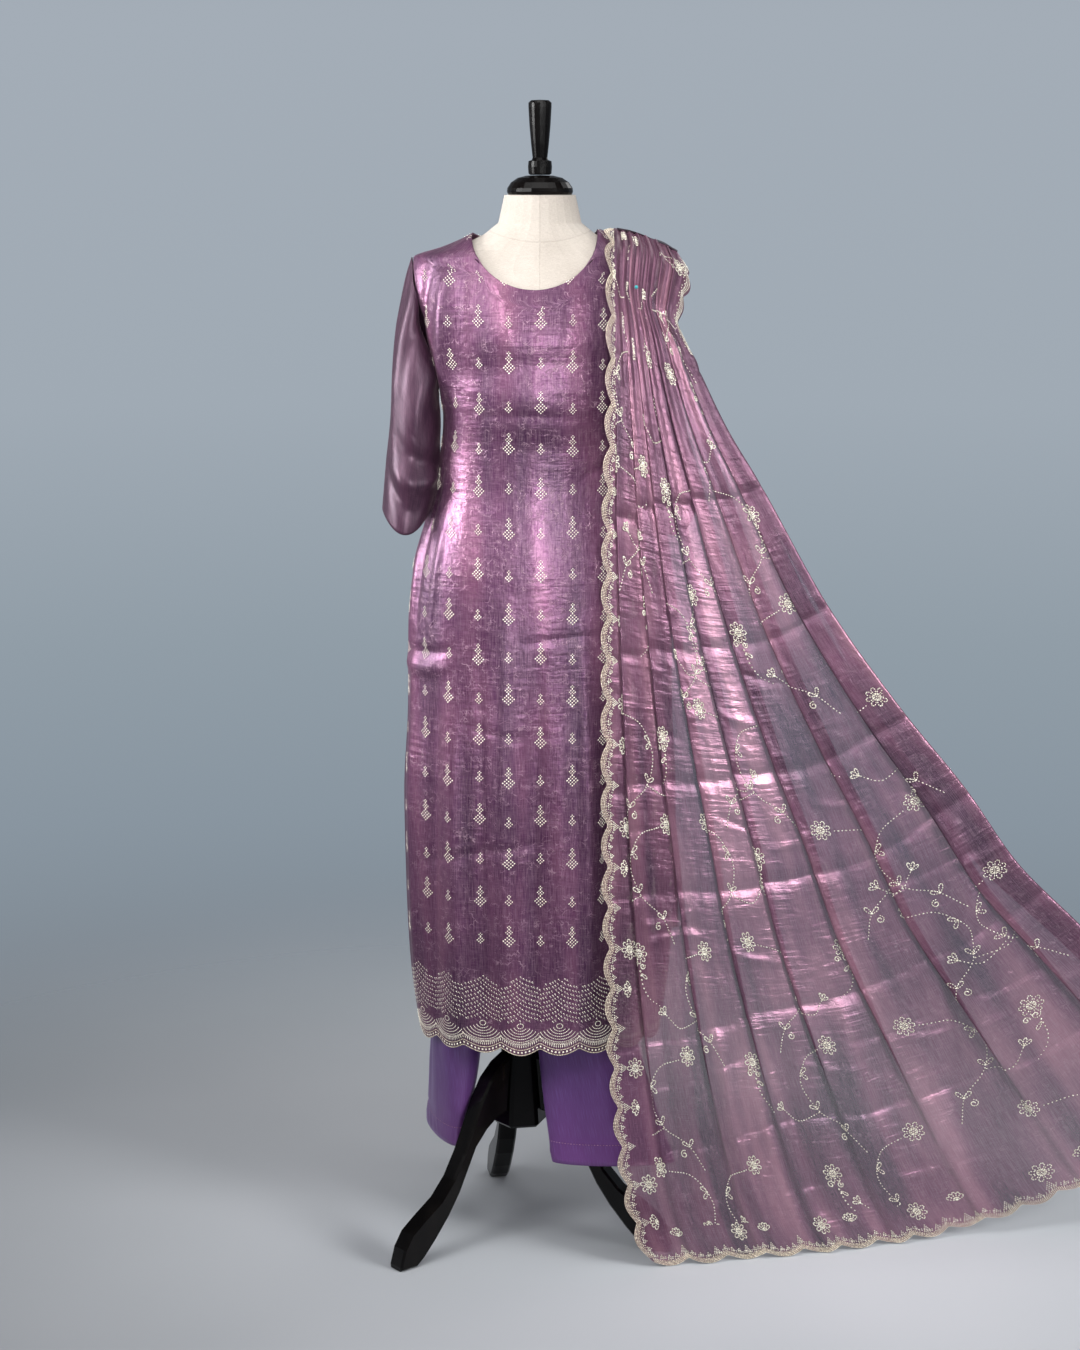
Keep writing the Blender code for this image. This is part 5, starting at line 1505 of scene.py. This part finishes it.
def shoulder_work():
    """Beaded rows along the far border on the shoulder, and two dotted stems that cross there."""
    v = np.arange(0.012, SHOULDER_BORDER_END - 0.02, 0.0026)
    rows = [beads(VEIL_WIDTH - inset, v, 0.0026, 0.0022, math.pi / 2) for inset in SHOULDER_ROW_INSETS]
    v = np.arange(0.012, SHOULDER_BORDER_END - 0.03, 0.0046)
    wander = 0.002 * np.sin(1.9 * np.arange(len(v)))
    rows.append(beads(VEIL_WIDTH - SHOULDER_DOT_INSET + wander, v, 0.0024, 0.0022, 0.8))
    rows += [stem(points, SHOULDER_STEM_PITCH) for points in SHOULDER_STEMS]
    return np.concatenate(rows)


# Each field of vines starts this far below the shoulder and keeps clear of the worked borders.
FRONT_VINES_TOP = 0.06
BACK_VINES_TOP = 0.10
VINES_ABOVE_END = 0.03
VINES_FROM_EDGE = 0.05


def dupatta_embroidery(front, back):
    """Vines and sprigs over both stretches, with worked side and end borders."""
    silver, gold = border_work(VEIL_FRONT_LENGTH, lambda t: np.interp(t, front.v[:, 0], -front.u[:, 0]),
                               lambda t, d: (d, t, np.full_like(t, -math.pi / 2)))
    end_silver, end_gold = end_border(front, VEIL_FRONT_LENGTH)
    field = vine_field(VEIL_WIDTH, VEIL_FRONT_LENGTH - VINES_ABOVE_END, FRONT_VINES_TOP, seed=11)
    field = np.concatenate([field[field[:, 0] > VINES_FROM_EDGE], shoulder_work()])
    sew("dupatta_front_vines", front, field, SILVER_BEAD_FAINT_GLOW)
    sew("dupatta_front_border", front, np.concatenate([silver, end_silver]), SILVER_BEAD_FAINT_GLOW)
    sew("dupatta_front_rim", front, np.concatenate([gold, end_gold]), GOLD_BEAD)

    # behind the shoulder only the outer layers have vines
    silver, gold = end_border(back, VEIL_BACK_LENGTH)
    outer = VEIL_WIDTH * (BACK_LAYERS - 2) / BACK_LAYERS
    field = vine_field(VEIL_WIDTH, VEIL_BACK_LENGTH - VINES_ABOVE_END, BACK_VINES_TOP, seed=23)
    sew("dupatta_back_vines", back, field[field[:, 0] > outer], SILVER_BEAD_FAINT_GLOW)
    sew("dupatta_back_border", back, silver, SILVER_BEAD_FAINT_GLOW)
    sew("dupatta_back_rim", back, gold, GOLD_BEAD)


# ---------------- studio
CAMERA_DISTANCE = 3.5
CAMERA_HEIGHT = 1.5
CAMERA_TILT = 79.0
CAMERA_LENS = 68.16
CAMERA_SENSOR = 36.0
FLOOR_RINGS = (0.0, 0.5, 0.9, 1.2, 1.6, 2.4)
FLOOR_SIDES = 64
FLOOR_Z = -0.0005
FLOOR_FADE = (0.35, 2.1)
BACKDROP_STRENGTH = 1.0
AMBIENT_STRENGTH = 0.50
# Colours of the backdrop by height, from straight down (0) to straight up (1).
SKY = ((0.20, rgb(30, 30, 34)), (0.33, rgb(120, 128, 136)), (0.378, rgb(137, 149, 160)),
       (0.412, rgb(145, 157, 167)), (0.457, rgb(160, 170, 180)), (0.53, rgb(164, 173, 183)),
       (0.72, rgb(120, 124, 130)), (0.95, rgb(70, 72, 76)))
# One row a softbox: place and aim from the form's axis, side, power in watts and spread in degrees.
Lamp = namedtuple("Lamp", "name place aim side power spread")
LAMPS = [
    Lamp("key", (-1.5, -1.5, 2.4), (-0.02, 0.0, 1.20), 1.0, 6.0, 75.0),
    Lamp("front", (0.2, -2.9, 1.4), (0.04, 0.0, 1.20), 0.9, 3.0, 32.0),
    Lamp("side", (2.3, -1.4, 1.4), (0.80, 0.0, 0.56), 1.1, 11.5, 70.0),
    Lamp("top", (0.0, -0.8, 3.6), (0.0, -0.6, 0.0), 2.6, 48.0, 180.0),
    Lamp("rim", (1.6, 1.9, 2.6), (0.0, 0.0, 1.10), 1.2, 8.0, 180.0),
    Lamp("edge", (-2.1, -0.20, 1.50), (-0.14, -0.08, 1.18), 0.7, 5.0, 45.0),
]


def add_camera():
    """Camera in front of the form, tilted slightly down."""
    camera = bpy.data.objects.new("camera", bpy.data.cameras.new("camera"))
    camera.data.lens = CAMERA_LENS
    camera.data.sensor_width = CAMERA_SENSOR
    camera.location = (AXIS[0], AXIS[1] - CAMERA_DISTANCE, CAMERA_HEIGHT)
    camera.rotation_euler = (math.radians(CAMERA_TILT), 0.0, 0.0)
    bpy.context.scene.collection.objects.link(camera)
    bpy.context.scene.camera = camera


def add_floor():
    """Pale round floor that fades out into the backdrop."""
    rings = np.array(FLOOR_RINGS)[:, None]
    angles = np.arange(FLOOR_SIDES) * 2 * math.pi / FLOOR_SIDES
    points = np.stack([rings * np.cos(angles), rings * np.sin(angles),
                       np.full((len(rings), FLOOR_SIDES), FLOOR_Z)], axis=-1)
    mesh = fill_mesh("floor", points.reshape(-1, 3), grid_quads(len(rings), FLOOR_SIDES, True))
    nodes = material("studio_floor")
    place = nodes.add("TexCoord").outputs["Object"]
    centred = nodes.vector("SUBTRACT", place, tuple(AXIS))
    reach = nodes.add("VectorMath", {0: centred}, operation="LENGTH").outputs["Value"]
    colour = nodes.ramp(nodes.noise(place, 1.5), ((0.3, rgb(203, 207, 212)), (0.7, rgb(211, 214, 219))))
    fade = {"Value": reach, "From Min": FLOOR_FADE[0], "From Max": FLOOR_FADE[1], "To Min": 1.0,
            "To Max": 0.0}
    alpha = nodes.add("MapRange", fade, interpolation_type="SMOOTHSTEP").outputs["Result"]
    mesh.materials.append(nodes.finish(Base_Color=colour, Roughness=0.85, Alpha=alpha))
    floor = bpy.data.objects.new("floor", mesh)
    bpy.context.scene.collection.objects.link(floor)


def add_backdrop():
    """Grey-blue sky; it shows at full strength and lights the cloth less."""
    world = bpy.data.worlds.new("studio")
    nodes = Nodes(world)
    background = nodes.tree.nodes["Background"]
    direction = nodes.add("TexCoord").outputs["Generated"]
    height = nodes.add("SeparateXYZ", {"Vector": direction}).outputs["Z"]
    nodes.put(nodes.ramp(nodes.level(height, -1.0, 1.0), SKY), background.inputs["Color"])
    seen = nodes.add("LightPath").outputs["Is Camera Ray"]
    strength = nodes.level(seen, 0.0, 1.0, AMBIENT_STRENGTH, BACKDROP_STRENGTH)
    nodes.put(strength, background.inputs["Strength"])
    bpy.context.scene.world = world
    bpy.context.scene.view_settings.view_transform = "Standard"


def add_lamps():
    """Soft square lamps turned to their aims, unseen by the camera."""
    for row in LAMPS:
        light = bpy.data.lights.new(row.name, "AREA")
        light.size = row.side
        light.energy = row.power
        light.spread = math.radians(row.spread)
        lamp = bpy.data.objects.new(row.name, light)
        lamp.location = tuple(np.array(row.place) + AXIS)
        x, y, z = np.array(row.aim) - np.array(row.place)
        lamp.rotation_euler = (math.atan2(math.hypot(x, y), -z), 0.0, math.atan2(-x, y))
        lamp.visible_camera = False
        bpy.context.scene.collection.objects.link(lamp)


def dress_cad_nodes():
    """Procedural finishes for the CAD nodes that show as they are."""
    finishes = {"dress_form": LINEN, "shoulder_pin": TURQUOISE, "lock_screw": STEEL}
    for name in ("neck_cap", "finial", "hub_collar", "pole", "hub",
                 "stand_leg_1", "stand_leg_2", "stand_leg_3"):
        finishes[name] = WOOD
    for name, finish in finishes.items():
        for slot in bpy.data.objects[name].material_slots:
            slot.material = finish


kameez_front_cloth, kameez_back_cloth = kameez()
sleeve_right_cloth, sleeve_left_cloth = sleeve("right", -1), sleeve("left", 1)
leg_right_cloth, leg_left_cloth = trouser("right", -1, RIGHT_LEG), trouser("left", 1, LEFT_LEG)
waistband()
veil_front_cloth, veil_back_cloth = dupatta()
kameez_embroidery(kameez_front_cloth, "front")
kameez_embroidery(kameez_back_cloth, "back")
dupatta_embroidery(veil_front_cloth, veil_back_cloth)
stitched_line("sleeve_right_stitches", sleeve_right_cloth, CUFF_STITCH)
stitched_line("sleeve_left_stitches", sleeve_left_cloth, CUFF_STITCH)
stitched_line("trouser_right_stitches", leg_right_cloth, HEM_BAND)
stitched_line("trouser_left_stitches", leg_left_cloth, HEM_BAND)
dress_cad_nodes()
add_camera()
add_floor()
add_backdrop()
add_lamps()

bpy.context.view_layer.update()
